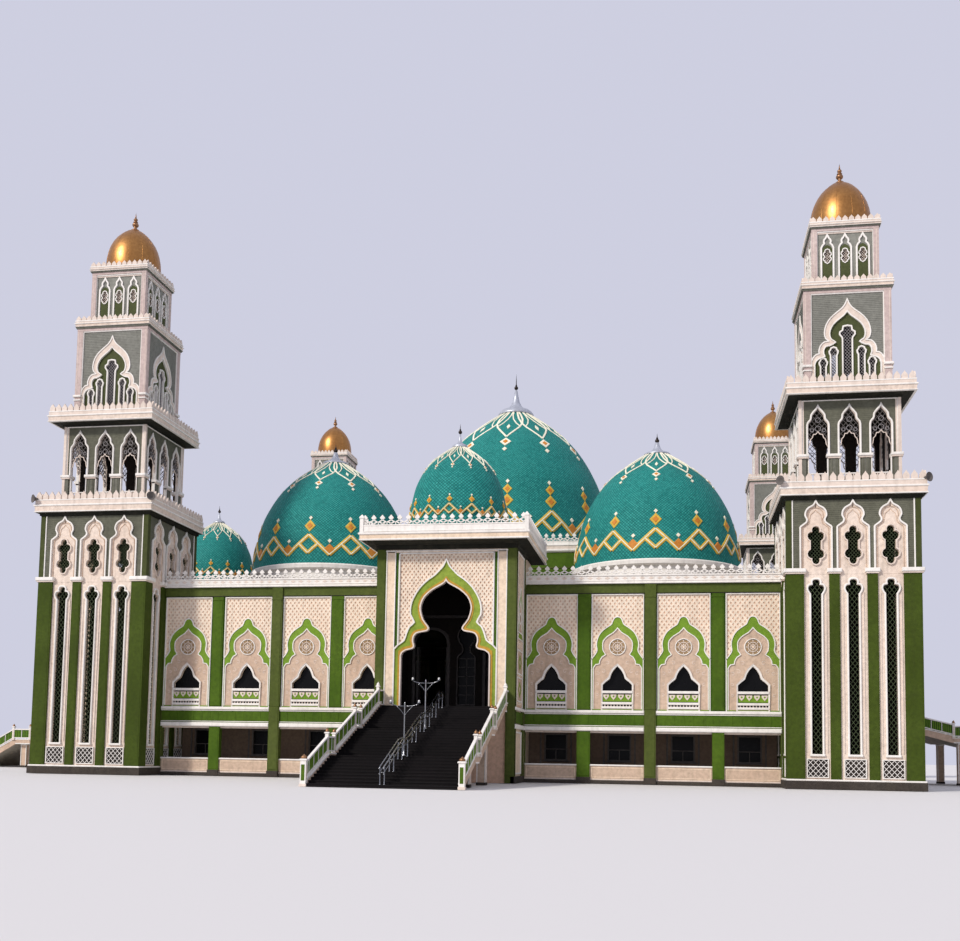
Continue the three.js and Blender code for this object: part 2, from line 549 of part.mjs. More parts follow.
// side stairs: flights carry their rails
for (const [name, w] of [['right', RIGHT], ['left', LEFT]]) {
  ['lower', 'middle', 'upper'].forEach((n, i) => {
    const f = SIDE_FLIGHTS[i];
    const list = [flight(f, i < 2)];
    for (const c of [-1, 1]) {
      // rail panel just clear of the step ends, tied to the flight under its landing
      const hi = 1.05;
      const o = [
        [f.u1 - G, f.z0 + (f.z0 === 0 ? 0 : 0.03)], [f.u1 - G, f.z0 + hi], [f.u0, f.z1 + hi], [f.l0 + G, f.z1 + hi],
        [f.l0 + G, f.z1 - 0.25], [f.u0, f.z1 - 0.25],
      ];
      const s = new THREE.Shape(o.map((p) => new THREE.Vector2(p[0] * U, p[1] * U)));
      const g = new THREE.ExtrudeGeometry(s, { depth: 0.14 * U, bevelEnabled: false });
      const m = new THREE.Matrix4().makeBasis(
        new THREE.Vector3(0, -1, 0), new THREE.Vector3(0, 0, 1), new THREE.Vector3(-1, 0, 0));
      g.applyMatrix4(m);
      const x0 = c < 0 ? -STAIR_HALF - G : STAIR_HALF + G + 0.14;
      g.translate(x0 * U, -PORCH_OUT * U, 0);
      list.push(solid(g));
      list.push(box(c * (STAIR_HALF - 0.2), c * (STAIR_HALF + 0.1), -PORCH_OUT - f.u0 + 0.05, -PORCH_OUT - f.l0 - 0.1, f.z1 - 0.24, f.z1 - 0.06));
    }
    put(`${name}_stair_${n}_flight`, side(join(list), w), GRANITE, 0.5);
  });
}

export default root;
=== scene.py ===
"""Detailed looks of a mosque building with four square minarets, five tiled domes, three raised
porches and their stairs, as a 1:10 model.  Lengths below are metres of the real building, in the
frame of the CAD part (origin on the ground at the middle of the hall, front towards -Y); S turns
them into model metres."""
import math

import bpy
import numpy as np
from mathutils import Matrix, Vector
from mathutils.geometry import tessellate_polygon


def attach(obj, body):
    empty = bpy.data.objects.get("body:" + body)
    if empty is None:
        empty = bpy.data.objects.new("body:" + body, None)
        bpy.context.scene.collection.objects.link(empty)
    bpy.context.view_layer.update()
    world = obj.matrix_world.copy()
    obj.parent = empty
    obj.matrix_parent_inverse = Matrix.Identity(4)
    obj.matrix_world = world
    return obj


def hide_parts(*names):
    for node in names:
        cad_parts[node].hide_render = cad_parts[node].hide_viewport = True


S = 0.1
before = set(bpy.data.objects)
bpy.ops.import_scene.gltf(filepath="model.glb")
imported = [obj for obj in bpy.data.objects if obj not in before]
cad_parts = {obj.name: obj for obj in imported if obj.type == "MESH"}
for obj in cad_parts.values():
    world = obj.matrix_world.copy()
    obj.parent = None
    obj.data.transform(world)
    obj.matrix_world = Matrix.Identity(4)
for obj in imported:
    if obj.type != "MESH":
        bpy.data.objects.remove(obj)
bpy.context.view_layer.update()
RNG = np.random.RandomState(7)


# ------------------------------------------------------------------ materials
def srgb(r, g, b):
    def lin(c):
        c /= 255.0
        return c / 12.92 if c <= 0.04045 else ((c + 0.055) / 1.055) ** 2.4
    return (lin(r), lin(g), lin(b), 1.0)


def mix_colour(nt, fac, a, b, blend="MIX"):
    n = nt.nodes.new("ShaderNodeMix")
    n.data_type = "RGBA"
    n.blend_type = blend
    for sock, val in ((n.inputs[0], fac), (n.inputs[6], a), (n.inputs[7], b)):
        if hasattr(val, "is_output"):
            nt.links.new(val, sock)
        else:
            sock.default_value = val
    return n.outputs[2]


def ramp(nt, fac, lo, hi):
    n = nt.nodes.new("ShaderNodeMapRange")
    nt.links.new(fac, n.inputs[0])
    n.inputs[1].default_value = lo
    n.inputs[2].default_value = hi
    n.clamp = True
    return n.outputs[0]


def noise(nt, coord, scale, detail=4.0, rough=0.6, squeeze=None):
    if squeeze:
        m = nt.nodes.new("ShaderNodeMapping")
        m.inputs["Scale"].default_value = squeeze
        nt.links.new(coord, m.inputs["Vector"])
        coord = m.outputs[0]
    n = nt.nodes.new("ShaderNodeTexNoise")
    n.inputs["Scale"].default_value = scale
    n.inputs["Detail"].default_value = detail
    n.inputs["Roughness"].default_value = rough
    nt.links.new(coord, n.inputs["Vector"])
    return n.outputs["Fac"]


def material(name, base, alt=None, rough=0.6, metal=0.0, stains=0.35, dirt=(96, 88, 74), grain=0.12,
             bump=0.25, coat=0.0, streaks=0.3, speck=None, spec=0.15, fine=220.0):
    """A painted, tiled or stone surface: base colour drifting towards a second shade, rain streaks,
    soft stains, fine grain in colour, roughness and relief."""
    m = bpy.data.materials.new(name)
    m.use_nodes = True
    nt = m.node_tree
    bsdf = nt.nodes["Principled BSDF"]
    coord = nt.nodes.new("ShaderNodeTexCoord").outputs["Object"]
    alt = alt or tuple(min(255, c * 1.12 + 4) for c in base)
    broad = ramp(nt, noise(nt, coord, 3.2, 5.0), 0.36, 0.66)
    col = mix_colour(nt, broad, srgb(*base), srgb(*alt))
    small = ramp(nt, noise(nt, coord, 46.0, 4.0), 0.40, 0.70)
    dark = tuple(c * (1 - grain * 1.8) for c in base)
    col = mix_colour(nt, small, col, mix_colour(nt, 0.5, col, srgb(*dark)))
    if stains:
        s = ramp(nt, noise(nt, coord, 9.0, 6.0, 0.65), 0.56, 0.78)
        k = nt.nodes.new("ShaderNodeMath")
        k.operation = "MULTIPLY"
        nt.links.new(s, k.inputs[0])
        k.inputs[1].default_value = stains
        col = mix_colour(nt, k.outputs[0], col, mix_colour(nt, 0.55, col, srgb(*dirt)))
    if streaks:
        s = ramp(nt, noise(nt, coord, 30.0, 3.0, 0.5, squeeze=(1.0, 1.0, 0.06)), 0.52, 0.74)
        k = nt.nodes.new("ShaderNodeMath")
        k.operation = "MULTIPLY"
        nt.links.new(s, k.inputs[0])
        k.inputs[1].default_value = streaks
        col = mix_colour(nt, k.outputs[0], col, mix_colour(nt, 0.5, col, srgb(*dirt)))
    if speck:
        s = ramp(nt, noise(nt, coord, 420.0, 2.0, 0.5), 0.60, 0.72)
        col = mix_colour(nt, s, col, srgb(*speck))
    nt.links.new(col, bsdf.inputs["Base Color"])
    r = nt.nodes.new("ShaderNodeMapRange")
    nt.links.new(noise(nt, coord, 70.0, 3.0), r.inputs[0])
    r.inputs[3].default_value = max(0.05, rough - 0.12)
    r.inputs[4].default_value = min(1.0, rough + 0.14)
    nt.links.new(r.outputs[0], bsdf.inputs["Roughness"])
    bsdf.inputs["Metallic"].default_value = metal
    bsdf.inputs["Specular IOR Level"].default_value = spec
    if coat:
        bsdf.inputs["Coat Weight"].default_value = coat
        bsdf.inputs["Coat Roughness"].default_value = 0.18
    if bump:
        b = nt.nodes.new("ShaderNodeBump")
        b.inputs["Strength"].default_value = bump
        b.inputs["Distance"].default_value = 0.0012
        nt.links.new(noise(nt, coord, fine, 4.0), b.inputs["Height"])
        nt.links.new(b.outputs[0], bsdf.inputs["Normal"])
    m.diffuse_color = srgb(*base)
    return m


def diamond_tiles(m, n, up, out):
    """Small diamond tiles over a dome: n round its foot, rows by height and radius; each tile has
    its own shade, a dark joint and a raised, slightly tilted face."""
    nt = m.node_tree
    bsdf = nt.nodes["Principled BSDF"]

    def op(kind, a, b=None):
        k = nt.nodes.new("ShaderNodeMath")
        k.operation = kind
        for i, q in enumerate((a, b)):
            if q is None:
                continue
            if hasattr(q, "is_output"):
                nt.links.new(q, k.inputs[i])
            else:
                k.inputs[i].default_value = q
        return k.outputs[0]
    sep = nt.nodes.new("ShaderNodeSeparateXYZ")
    nt.links.new(nt.nodes.new("ShaderNodeTexCoord").outputs["Generated"], sep.inputs[0])
    x, y = op("SUBTRACT", sep.outputs[0], .5), op("SUBTRACT", sep.outputs[1], .5)
    u = op("MULTIPLY", op("ARCTAN2", x, y), n / (2 * math.pi))
    r = op("MULTIPLY", op("SQRT", op("ADD", op("MULTIPLY", x, x), op("MULTIPLY", y, y))), 2.0)
    v = op("SUBTRACT", op("MULTIPLY", sep.outputs[2], up), op("MULTIPLY", r, out))
    a, b = op("ADD", u, v), op("SUBTRACT", u, v)
    edge = op("MINIMUM", op("PINGPONG", a, .5), op("PINGPONG", b, .5))
    face = ramp(nt, edge, .02, .16)
    ids = nt.nodes.new("ShaderNodeCombineXYZ")
    nt.links.new(op("FLOOR", a), ids.inputs[0])
    nt.links.new(op("FLOOR", b), ids.inputs[1])
    rnd = nt.nodes.new("ShaderNodeTexWhiteNoise")
    nt.links.new(ids.outputs[0], rnd.inputs["Vector"])
    old = bsdf.inputs["Base Color"].links[0].from_socket
    col = mix_colour(nt, op("MULTIPLY", rnd.outputs["Value"], .5), old, srgb(62, 164, 154))
    col = mix_colour(nt, face, srgb(10, 84, 84), col)
    nt.links.new(col, bsdf.inputs["Base Color"])
    tilt = op("MULTIPLY", op("SUBTRACT", op("FRACT", a), op("FRACT", b)), -.35)
    bn = nt.nodes.new("ShaderNodeBump")
    bn.inputs["Strength"].default_value = .5
    bn.inputs["Distance"].default_value = .003
    nt.links.new(op("ADD", face, tilt), bn.inputs["Height"])
    nt.links.new(bsdf.inputs["Normal"].links[0].from_socket, bn.inputs["Normal"])
    nt.links.new(bn.outputs[0], bsdf.inputs["Normal"])


M = {}


def make_materials():
    M["olive"] = material("olive_paint", (72, 84, 32), (84, 94, 44), rough=0.75, stains=0.4, dirt=(58, 56, 40))
    M["bright"] = material("bright_green_paint", (62, 88, 16), (78, 104, 26), rough=0.75, stains=0.4, dirt=(52, 56, 30))
    # painted shade: olive paint darkened for the soffits and for the bands just under the cornices, where shade falls
    M["olive_dk"] = material("olive_paint_darkened_as_painted_shade", (36, 36, 30), (44, 44, 37), rough=0.85)
    M["green"] = material("green_band", (56, 88, 20), (72, 100, 28), rough=0.7)
    M["leaf"] = material("leaf_green_band", (108, 142, 42), (124, 156, 54), rough=0.75, dirt=(90, 100, 50))
    M["cream"] = material("cream_plaster", (228, 204, 178), (236, 216, 192), rough=0.85, stains=0.35, streaks=0.35)
    M["pink"] = material("pink_plaster", (198, 172, 150), (208, 184, 162), rough=0.88, stains=0.35)
    M["pale"] = material("pale_rose_plaster", (222, 203, 187), (230, 214, 199), rough=0.85, stains=0.3, streaks=0.35)
    M["rose"] = material("rose_plaster", (192, 172, 166), (204, 186, 180), rough=0.85, stains=0.3, streaks=0.35)
    M["rib"] = material("lattice_rib", (232, 212, 190), (238, 222, 202), rough=0.85, stains=0.25)
    M["field"] = material("lattice_ground", (208, 174, 150), (217, 185, 161), rough=0.92, stains=0.25)
    M["sage"] = material("sage_field", (70, 76, 46), (80, 86, 54), rough=0.85, stains=0.3)
    M["white"] = material("white_trim", (228, 223, 216), (236, 232, 226), rough=0.8, stains=0.25, streaks=0.35, grain=0.04)
    M["warm"] = material("warm_white", (216, 200, 187), (226, 212, 200), rough=0.82, stains=0.3, streaks=0.35, grain=0.06)
    M["grey"] = material("grey_green_field", (98, 98, 84), (110, 110, 96), rough=0.88, stains=0.3, streaks=0.35, dirt=(66, 64, 56))
    M["grey3"] = material("light_grey_field", (128, 128, 120), (140, 140, 132), rough=0.88, stains=0.3, streaks=0.35, dirt=(92, 90, 84))
    M["greyf"] = material("grey_column", (104, 104, 94), (116, 116, 106), rough=0.88)
    M["yg"] = material("yellow_green_band", (124, 148, 48), (144, 162, 66), rough=0.68, dirt=(96, 100, 56))
    M["gold_paint"] = material("ochre_paint", (176, 134, 48), (192, 150, 60), rough=0.65)
    M["tan"] = material("tan_relief", (150, 124, 92), (164, 138, 106), rough=0.82)
    for key, n, high, wide in (("teal", 150, 13.745, 6.52), ("teal_main", 208, 17.84, 9.005), ("teal_porch", 78, 8.40, 3.385)):
        M[key] = material("tiles_" + key, (26, 122, 116), (38, 140, 132), rough=0.62, stains=0.22,
                          streaks=0.2, dirt=(40, 70, 70), bump=0.05, grain=0.12, spec=0.14)
        diamond_tiles(M[key], n, high / .27, wide / .27)
    M["dgold"] = material("dome_gold", (206, 168, 62), (220, 184, 80), rough=0.55, coat=0.05, stains=0.2, streaks=0.2)
    M["dorange"] = material("dome_orange", (196, 122, 46), (212, 140, 60), rough=0.55, coat=0.05, stains=0.2, streaks=0.2)
    M["dcream"] = material("dome_cream", (236, 229, 203), (243, 238, 218), rough=0.55, stains=0.2, streaks=0.25)
    M["cap"] = material("pale_metal_cap", (176, 180, 190), (192, 196, 206), rough=0.38, metal=0.45, stains=0.2, streaks=0.2, bump=0.05)
    M["copper"] = material("copper_gold", (164, 114, 64), (182, 134, 80), rough=0.37, metal=0.88, stains=0.25,
                           streaks=0.15, dirt=(96, 66, 44), bump=0.06, grain=0.1, fine=120.0)
    M["finial"] = material("aged_gold_finial", (146, 108, 78), (166, 126, 92), rough=0.38, metal=0.8, stains=0.3, streaks=0.2, bump=0.06)
    M["bead"] = material("dark_bronze", (52, 46, 44), (66, 58, 54), rough=0.4, metal=0.8, stains=0.1, streaks=0.0, bump=0.05)
    M["steel"] = material("handrail_steel", (150, 152, 156), (168, 170, 174), rough=0.25, metal=1.0, stains=0.1, streaks=0.0, bump=0.03)
    M["glass"] = material("dark_glass", (8, 8, 10), (14, 14, 16), rough=0.3, stains=0.1, streaks=0.1, bump=0.0, dirt=(30, 30, 32), spec=0.12)
    M["void"] = material("deep_shade", (14, 13, 14), (20, 19, 20), rough=0.9, stains=0.0, streaks=0.0, bump=0.0)
    # painted shade: dark and greyed copies of the wall, trim and filigree colours, for inner walls, liners and lattices
    # that stand in shade
    M["dim"] = material("shaded_inner_wall", (42, 38, 36), (52, 46, 42), rough=0.92, stains=0.3, streaks=0.1, dirt=(30, 28, 26))
    # painted shade: the veranda wall's plaster darkened for the shade under the veranda roof
    M["shade"] = material("veranda_wall_painted_shade", (118, 100, 86), (130, 112, 96), rough=0.9, stains=0.4, streaks=0.3, dirt=(70, 62, 54))
    M["dimtrim"] = material("shaded_inner_trim", (96, 92, 90), (110, 104, 100), rough=0.88, stains=0.3, streaks=0.1, dirt=(60, 58, 56))
    M["filigree"] = material("shaded_filigree", (136, 132, 134), (150, 146, 146), rough=0.85, stains=0.3, streaks=0.1, dirt=(80, 76, 74))
    M["grille"] = material("window_grille", (52, 60, 42), (62, 72, 50), rough=0.8)
    M["bright_m"] = material("minaret_green_paint", (55, 69, 14), (67, 82, 24), rough=0.75, stains=0.4, dirt=(48, 50, 28))
    M["olive_m"] = material("minaret_olive_paint", (62, 68, 34), (72, 78, 44), rough=0.75, stains=0.4, dirt=(52, 52, 38))
    M["granite"] = material("dark_granite", (13, 11, 12), (19, 16, 18), rough=0.55, speck=(40, 36, 38), stains=0.3,
                            streaks=0.0, grain=0.2, dirt=(40, 36, 34), spec=0.12)
    M["riser"] = material("granite_riser", (17, 14, 15), (25, 21, 23), rough=0.55, speck=(46, 42, 42), stains=0.3, streaks=0.1, spec=0.1, dirt=(40, 36, 34))
    M["concrete"] = material("concrete", (160, 154, 142), (176, 170, 158), rough=0.9, stains=0.5, streaks=0.3, speck=(140, 134, 124))
    M["deck"] = material("roof_screed", (160, 156, 148), (178, 174, 166), rough=0.95, stains=0.6, streaks=0.0, speck=(140, 136, 130))
    M["base"] = material("dark_base", (56, 50, 46), (70, 64, 58), rough=0.85, stains=0.4, speck=(96, 90, 84))
    M["lamp"] = material("lamp_glass", (240, 240, 236), (246, 246, 242), rough=0.2, stains=0.1, streaks=0.0, bump=0.0, coat=0.4)


# ------------------------------------------------------------------ mesh building
class Part:
    """Gathers closed little bodies into one mesh.  Everything is in real metres."""

    def __init__(self):
        self.v, self.f, self.m, self.s = [], [], [], []
        self.n = 0

    def add(self, verts, faces, mat, smooth=False):
        verts = np.asarray(verts, float).reshape(-1, 3)
        self.v.append(verts)
        n = self.n
        for f in faces:
            self.f.append(tuple(i + n for i in f))
        self.m += [mat] * len(faces)
        self.s += [smooth] * len(faces)
        self.n += len(verts)

    def stamp(self, other, places):
        """Adds other at each place: (turn in radians about Z, (x, y, z)) or a 4x4 matrix."""
        ov = np.concatenate(other.v)
        for p in places:
            if isinstance(p, np.ndarray):
                v = ov @ p[:3, :3].T + p[:3, 3]
                flip = np.linalg.det(p[:3, :3]) < 0
            else:
                a, t = p
                c, s = math.cos(a), math.sin(a)
                v = ov @ np.array([[c, -s, 0], [s, c, 0], [0, 0, 1]]).T + np.array(t)
                flip = False
            n = self.n
            self.v.append(v)
            if flip:
                self.f += [tuple(i + n for i in reversed(f)) for f in other.f]
            else:
                self.f += [tuple(i + n for i in f) for f in other.f]
            self.m += other.m
            self.s += other.s
            self.n += len(v)

    def turned(self, quarter=0, move=(0, 0, 0), mirror=False):
        """A copy turned by quarter turns, moved, then mirrored in X if asked."""
        q = Part()
        a = quarter * math.pi / 2
        c, s = round(math.cos(a)), round(math.sin(a))
        R = np.array([[c, -s, 0], [s, c, 0], [0, 0, 1]], float)
        v = np.concatenate(self.v) @ R.T + np.array(move, float)
        f = self.f
        if mirror:
            v = v * np.array([-1, 1, 1])
            f = [tuple(reversed(t)) for t in f]
        q.v, q.f, q.m, q.s, q.n = [v], list(f), list(self.m), list(self.s), self.n
        return q

    def tris(self):
        return sum(len(f) - 2 for f in self.f)


PIECES = []


def build(name, part, slot, nodes=()):
    keys = sorted(set(part.m))
    me = bpy.data.meshes.new(name)
    me.from_pydata((np.concatenate(part.v) * S).tolist(), [], part.f)
    for k in keys:
        me.materials.append(M[k])
    idx = {k: i for i, k in enumerate(keys)}
    me.polygons.foreach_set("material_index", np.array([idx[k] for k in part.m], np.int32))
    me.polygons.foreach_set("use_smooth", np.array(part.s, bool))
    me.update()
    ob = bpy.data.objects.new(name, me)
    bpy.context.scene.collection.objects.link(ob)
    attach(ob, "root")
    if nodes:
        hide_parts(*nodes)
    PIECES.append((name, part.tris()))
    return ob


# outlines are lists of (across, up); depth d is the distance outward from the middle of the
# building (or from a minaret's axis), so a point stands at (across, -depth, up)
def P3(a, z, d):
    return (a, -d, z)


def area(loop):
    return 0.5 * sum(p[0] * q[1] - q[0] * p[1] for p, q in zip(loop, loop[1:] + loop[:1]))


def ccw(loop):
    loop = [tuple(p) for p in loop]
    return loop if area(loop) > 0 else loop[::-1]


def offset(loop, w, closed=True):
    """Each point moved w to the right of the way the line runs (outward for a CCW loop)."""
    p = np.array(loop, float)
    n = len(p)
    out = []
    for i in range(n):
        a = p[i] - p[i - 1] if (closed or i > 0) else p[i + 1] - p[i]
        b = p[(i + 1) % n] - p[i] if (closed or i < n - 1) else p[i] - p[i - 1]
        a = a / (np.linalg.norm(a) or 1)
        b = b / (np.linalg.norm(b) or 1)
        na, nb = np.array([a[1], -a[0]]), np.array([b[1], -b[0]])
        k = 1 + na @ nb
        out.append(tuple(p[i] + (na + nb) * (w / max(k, 0.45))))
    return out


def caps(loops):
    """Triangles over an outline with holes, counter-clockwise."""
    flat = [p for l in loops for p in l]
    tris = tessellate_polygon([[Vector((p[0], p[1], 0)) for p in l] for l in loops])
    out = []
    for t in tris:
        a, b, c = (flat[i] for i in t)
        s = (b[0] - a[0]) * (c[1] - a[1]) - (c[0] - a[0]) * (b[1] - a[1])
        if abs(s) < 1e-12:
            out.append(tuple(t))
        else:
            out.append(tuple(t) if s > 0 else tuple(t)[::-1])
    return out


def plate(part, loops, d0, d1, mat, side=None, bevel=0.0):
    """A flat piece between depths d0 and d1 (d1 the outer face), with holes and a chamfered edge."""
    side = side or mat
    loops = [ccw(loops[0])] + [ccw(l)[::-1] for l in loops[1:]]
    front = [offset(l, -bevel) for l in loops] if bevel else loops
    tri = caps(loops)
    flat, ffl = [p for l in loops for p in l], [p for l in front for p in l]
    n = len(flat)
    db = d1 - bevel
    v = [P3(*p, d0) for p in flat] + [P3(*p, db) for p in flat]
    if bevel:
        v += [P3(*p, d1) for p in ffl]
    f_top, f_back, f_side = [], [], []
    o = 2 * n if bevel else n
    for t in tri:
        f_top.append(tuple(i + o for i in t))
        f_back.append(tuple(t)[::-1])
    k = 0
    for l in loops:
        m = len(l)
        for i in range(m):
            a, b = k + i, k + (i + 1) % m
            f_side.append((b + n, a + n, a, b))
            if bevel:
                f_side.append((b + 2 * n, a + 2 * n, a + n, b + n))
        k += m
    base = part.n
    part.add(v, f_top, mat)
    # the sides and back share the vertices just added
    for fs, mm in ((f_side, side), (f_back, side)):
        part.f += [tuple(i + base for i in f) for f in fs]
        part.m += [mm] * len(fs)
        part.s += [False] * len(fs)


def bar(part, a0, a1, z0, z1, d0, d1, mat, bevel=0.0):
    """A box from across a0 to a1, up z0 to z1, depth d0 to d1, its outer edges chamfered."""
    if bevel:
        plate(part, [[(a0, z0), (a1, z0), (a1, z1), (a0, z1)]], d0, d1, mat, bevel=bevel)
        return
    v = [P3(a0, z0, d0), P3(a1, z0, d0), P3(a1, z1, d0), P3(a0, z1, d0),
         P3(a0, z0, d1), P3(a1, z0, d1), P3(a1, z1, d1), P3(a0, z1, d1)]
    f = [(4, 5, 6, 7), (3, 2, 1, 0), (0, 1, 5, 4), (1, 2, 6, 5), (2, 3, 7, 6), (3, 0, 4, 7)]
    part.add(v, f, mat)


def ribbon(part, pts, w, d0, d1, mat, closed=False, bevel=0.02, side="mid"):
    """A moulding of width w along a line, chamfered along both edges."""
    pts = [tuple(p) for p in pts]
    lo, hi = {"mid": (-w / 2, w / 2), "right": (0, w), "left": (-w, 0)}[side]
    b = min(bevel, w * 0.3, (d1 - d0) * 0.8) if w >= .11 else 0
    cross = [(lo, d0), (lo, d1 - b), (lo + b, d1), (hi - b, d1), (hi, d1 - b), (hi, d0)]
    if b <= 0:
        cross = [(lo, d0), (lo, d1), (hi, d1), (hi, d0)]
    k = len(cross)
    rows = [offset(pts, o, closed) for o, _ in cross]
    n = len(pts)
    v = [P3(*rows[j][i], cross[j][1]) for i in range(n) for j in range(k)]
    f = []
    for i in range(n if closed else n - 1):
        a, b2 = i * k, ((i + 1) % n) * k
        for j in range(k):
            j2 = (j + 1) % k
            f.append((a + j, a + j2, b2 + j2, b2 + j))
    if not closed:
        f.append(tuple(range(k))[::-1])
        f.append(tuple((n - 1) * k + j for j in range(k)))
    part.add(v, f, mat)


def lathe(part, prof, n, mat, centre=(0, 0), smooth=True, start=0.0):
    """Profile of (radius, height) turned about a vertical axis; closed where the radius is 0."""
    v, f = [], []
    rows = []
    for r, z in prof:
        if r < 1e-6:
            rows.append([len(v)])
            v.append((centre[0], centre[1], z))
        else:
            rows.append(list(range(len(v), len(v) + n)))
            for i in range(n):
                a = start + 2 * math.pi * i / n
                v.append((centre[0] + r * math.cos(a), centre[1] + r * math.sin(a), z))
    for A, B in zip(rows, rows[1:]):
        for i in range(n):
            j = (i + 1) % n
            if len(A) == 1 and len(B) == 1:
                break
            if len(A) == 1:
                f.append((A[0], B[j], B[i]))
            elif len(B) == 1:
                f.append((A[i], A[j], B[0]))
            else:
                f.append((A[i], A[j], B[j], B[i]))
    part.add(v, f, mat, smooth)


def square_loft(part, rows, mat, centre=(0, 0)):
    """Rows of (half size, height) as stacked squares, closed top and bottom."""
    v, f = [], []
    for r, z in rows:
        for sx, sy in ((-1, -1), (1, -1), (1, 1), (-1, 1)):
            v.append((centre[0] + sx * r, centre[1] + sy * r, z))
    for k in range(len(rows) - 1):
        for i in range(4):
            j = (i + 1) % 4
            f.append((4 * k + i, 4 * k + j, 4 * k + 4 + j, 4 * k + 4 + i))
    f.append((3, 2, 1, 0))
    n = 4 * (len(rows) - 1)
    f.append((n, n + 1, n + 2, n + 3))
    part.add(v, f, mat)


def loft(part, rows, mat, cap=True):
    """Stacked plan outlines [(x, y), ...] CCW from above with heights: rows of (outline, z)."""
    v, f = [], []
    n = len(rows[0][0])
    for o, z in rows:
        v += [(x, y, z) for x, y in o]
    for k in range(len(rows) - 1):
        for i in range(n):
            j = (i + 1) % n
            f.append((n * k + i, n * k + j, n * k + n + j, n * k + n + i))
    if cap:
        f.append(tuple(range(n))[::-1])
        m = n * (len(rows) - 1)
        f.append(tuple(m + i for i in range(n)))
    part.add(v, f, mat)


def tube(part, pts, r, mat, n=8, smooth=True):
    """A round bar along a 3-D line, with flat ends."""
    pts = [Vector(p) for p in pts]
    v, f = [], []
    up = Vector((0, 0, 1))
    for i, p in enumerate(pts):
        a = (pts[i] - pts[i - 1]).normalized() if i else (pts[1] - pts[0]).normalized()
        b = (pts[i + 1] - pts[i]).normalized() if i < len(pts) - 1 else a
        t = (a + b).normalized()
        s = t.cross(up)
        if s.length < 1e-3:
            s = t.cross(Vector((0, 1, 0)))
        s.normalize()
        u = s.cross(t).normalized()
        k = 1 / max(0.4, a.dot(t))
        for j in range(n):
            w = 2 * math.pi * j / n
            q = p + s * (r * k * math.cos(w)) + u * (r * math.sin(w))
            v.append(tuple(q))
    m = len(pts)
    for i in range(m - 1):
        for j in range(n):
            j2 = (j + 1) % n
            f.append((i * n + j, i * n + j2, (i + 1) * n + j2, (i + 1) * n + j))
    part.add(v, f, mat, smooth)
    base = part.n - len(v)
    part.f += [tuple(base + j for j in range(n))[::-1], tuple(base + (m - 1) * n + j for j in range(n))]
    part.m += [mat, mat]
    part.s += [False, False]


def blob(part, c, r, mat, n=12, m=7, squash=1.0):
    prof = [(r * math.sin(math.pi * i / m), c[2] - r * squash * math.cos(math.pi * i / m)) for i in range(m + 1)]
    prof[0] = (0, prof[0][1])
    prof[-1] = (0, prof[-1][1])
    lathe(part, prof, n, mat, (c[0], c[1]))


def mirror_out(half):
    """Right half of an outline, from its foot up to the apex on x = 0, made whole (CCW)."""
    half = [tuple(p) for p in half]
    return half + [(-x, z) for x, z in reversed(half) if x > 1e-6]


def shift(pts, dx, dz=0.0):
    return [(x + dx, z + dz) for x, z in pts]


def smooth_line(pts, k=3):
    """Catmull-Rom points through an open line."""
    p = [np.array(q, float) for q in pts]
    out = []
    for i in range(len(p) - 1):
        a, b, c, d = p[max(i - 1, 0)], p[i], p[i + 1], p[min(i + 2, len(p) - 1)]
        for j in range(k):
            t = j / k
            out.append(tuple(0.5 * ((2 * b) + (c - a) * t + (2 * a - 5 * b + 4 * c - d) * t * t
                                    + (3 * b - a - 3 * c + d) * t ** 3)))
    out.append(tuple(p[-1]))
    return out


def inside(pt, poly):
    x, z = pt
    hit = False
    for (x1, z1), (x2, z2) in zip(poly, poly[1:] + poly[:1]):
        if (z1 > z) != (z2 > z) and x < (x2 - x1) * (z - z1) / (z2 - z1) + x1:
            hit = not hit
    return hit


def clip(p, q, rect, polys, keep_outside=True):
    """Parts of the segment p-q that are in the rectangle and outside (or inside) the outlines."""
    x0, x1, z0, z1 = rect
    t0, t1 = 0.0, 1.0
    dx, dz = q[0] - p[0], q[1] - p[1]
    for a, b in ((-dx, p[0] - x0), (dx, x1 - p[0]), (-dz, p[1] - z0), (dz, z1 - p[1])):
        if abs(a) < 1e-12:
            if b < 0:
                return []
            continue
        t = b / a
        if a < 0:
            t0 = max(t0, t)
        else:
            t1 = min(t1, t)
    if t1 - t0 < 1e-4:
        return []
    ts = {t0, t1}
    for poly in polys:
        for (ax, az), (bx, bz) in zip(poly, poly[1:] + poly[:1]):
            ex, ez = bx - ax, bz - az
            det = dx * ez - dz * ex
            if abs(det) < 1e-12:
                continue
            t = ((ax - p[0]) * ez - (az - p[1]) * ex) / det
            u = ((ax - p[0]) * dz - (az - p[1]) * dx) / det
            if -1e-9 <= u <= 1 + 1e-9 and t0 < t < t1:
                ts.add(t)
    ts = sorted(ts)
    out = []
    for a, b in zip(ts, ts[1:]):
        if b - a < 1e-4:
            continue
        m = (a + b) / 2
        pt = (p[0] + dx * m, p[1] + dz * m)
        into = any(inside(pt, poly) for poly in polys)
        if into != keep_outside:
            out.append(((p[0] + dx * a, p[1] + dz * a), (p[0] + dx * b, p[1] + dz * b)))
    return out


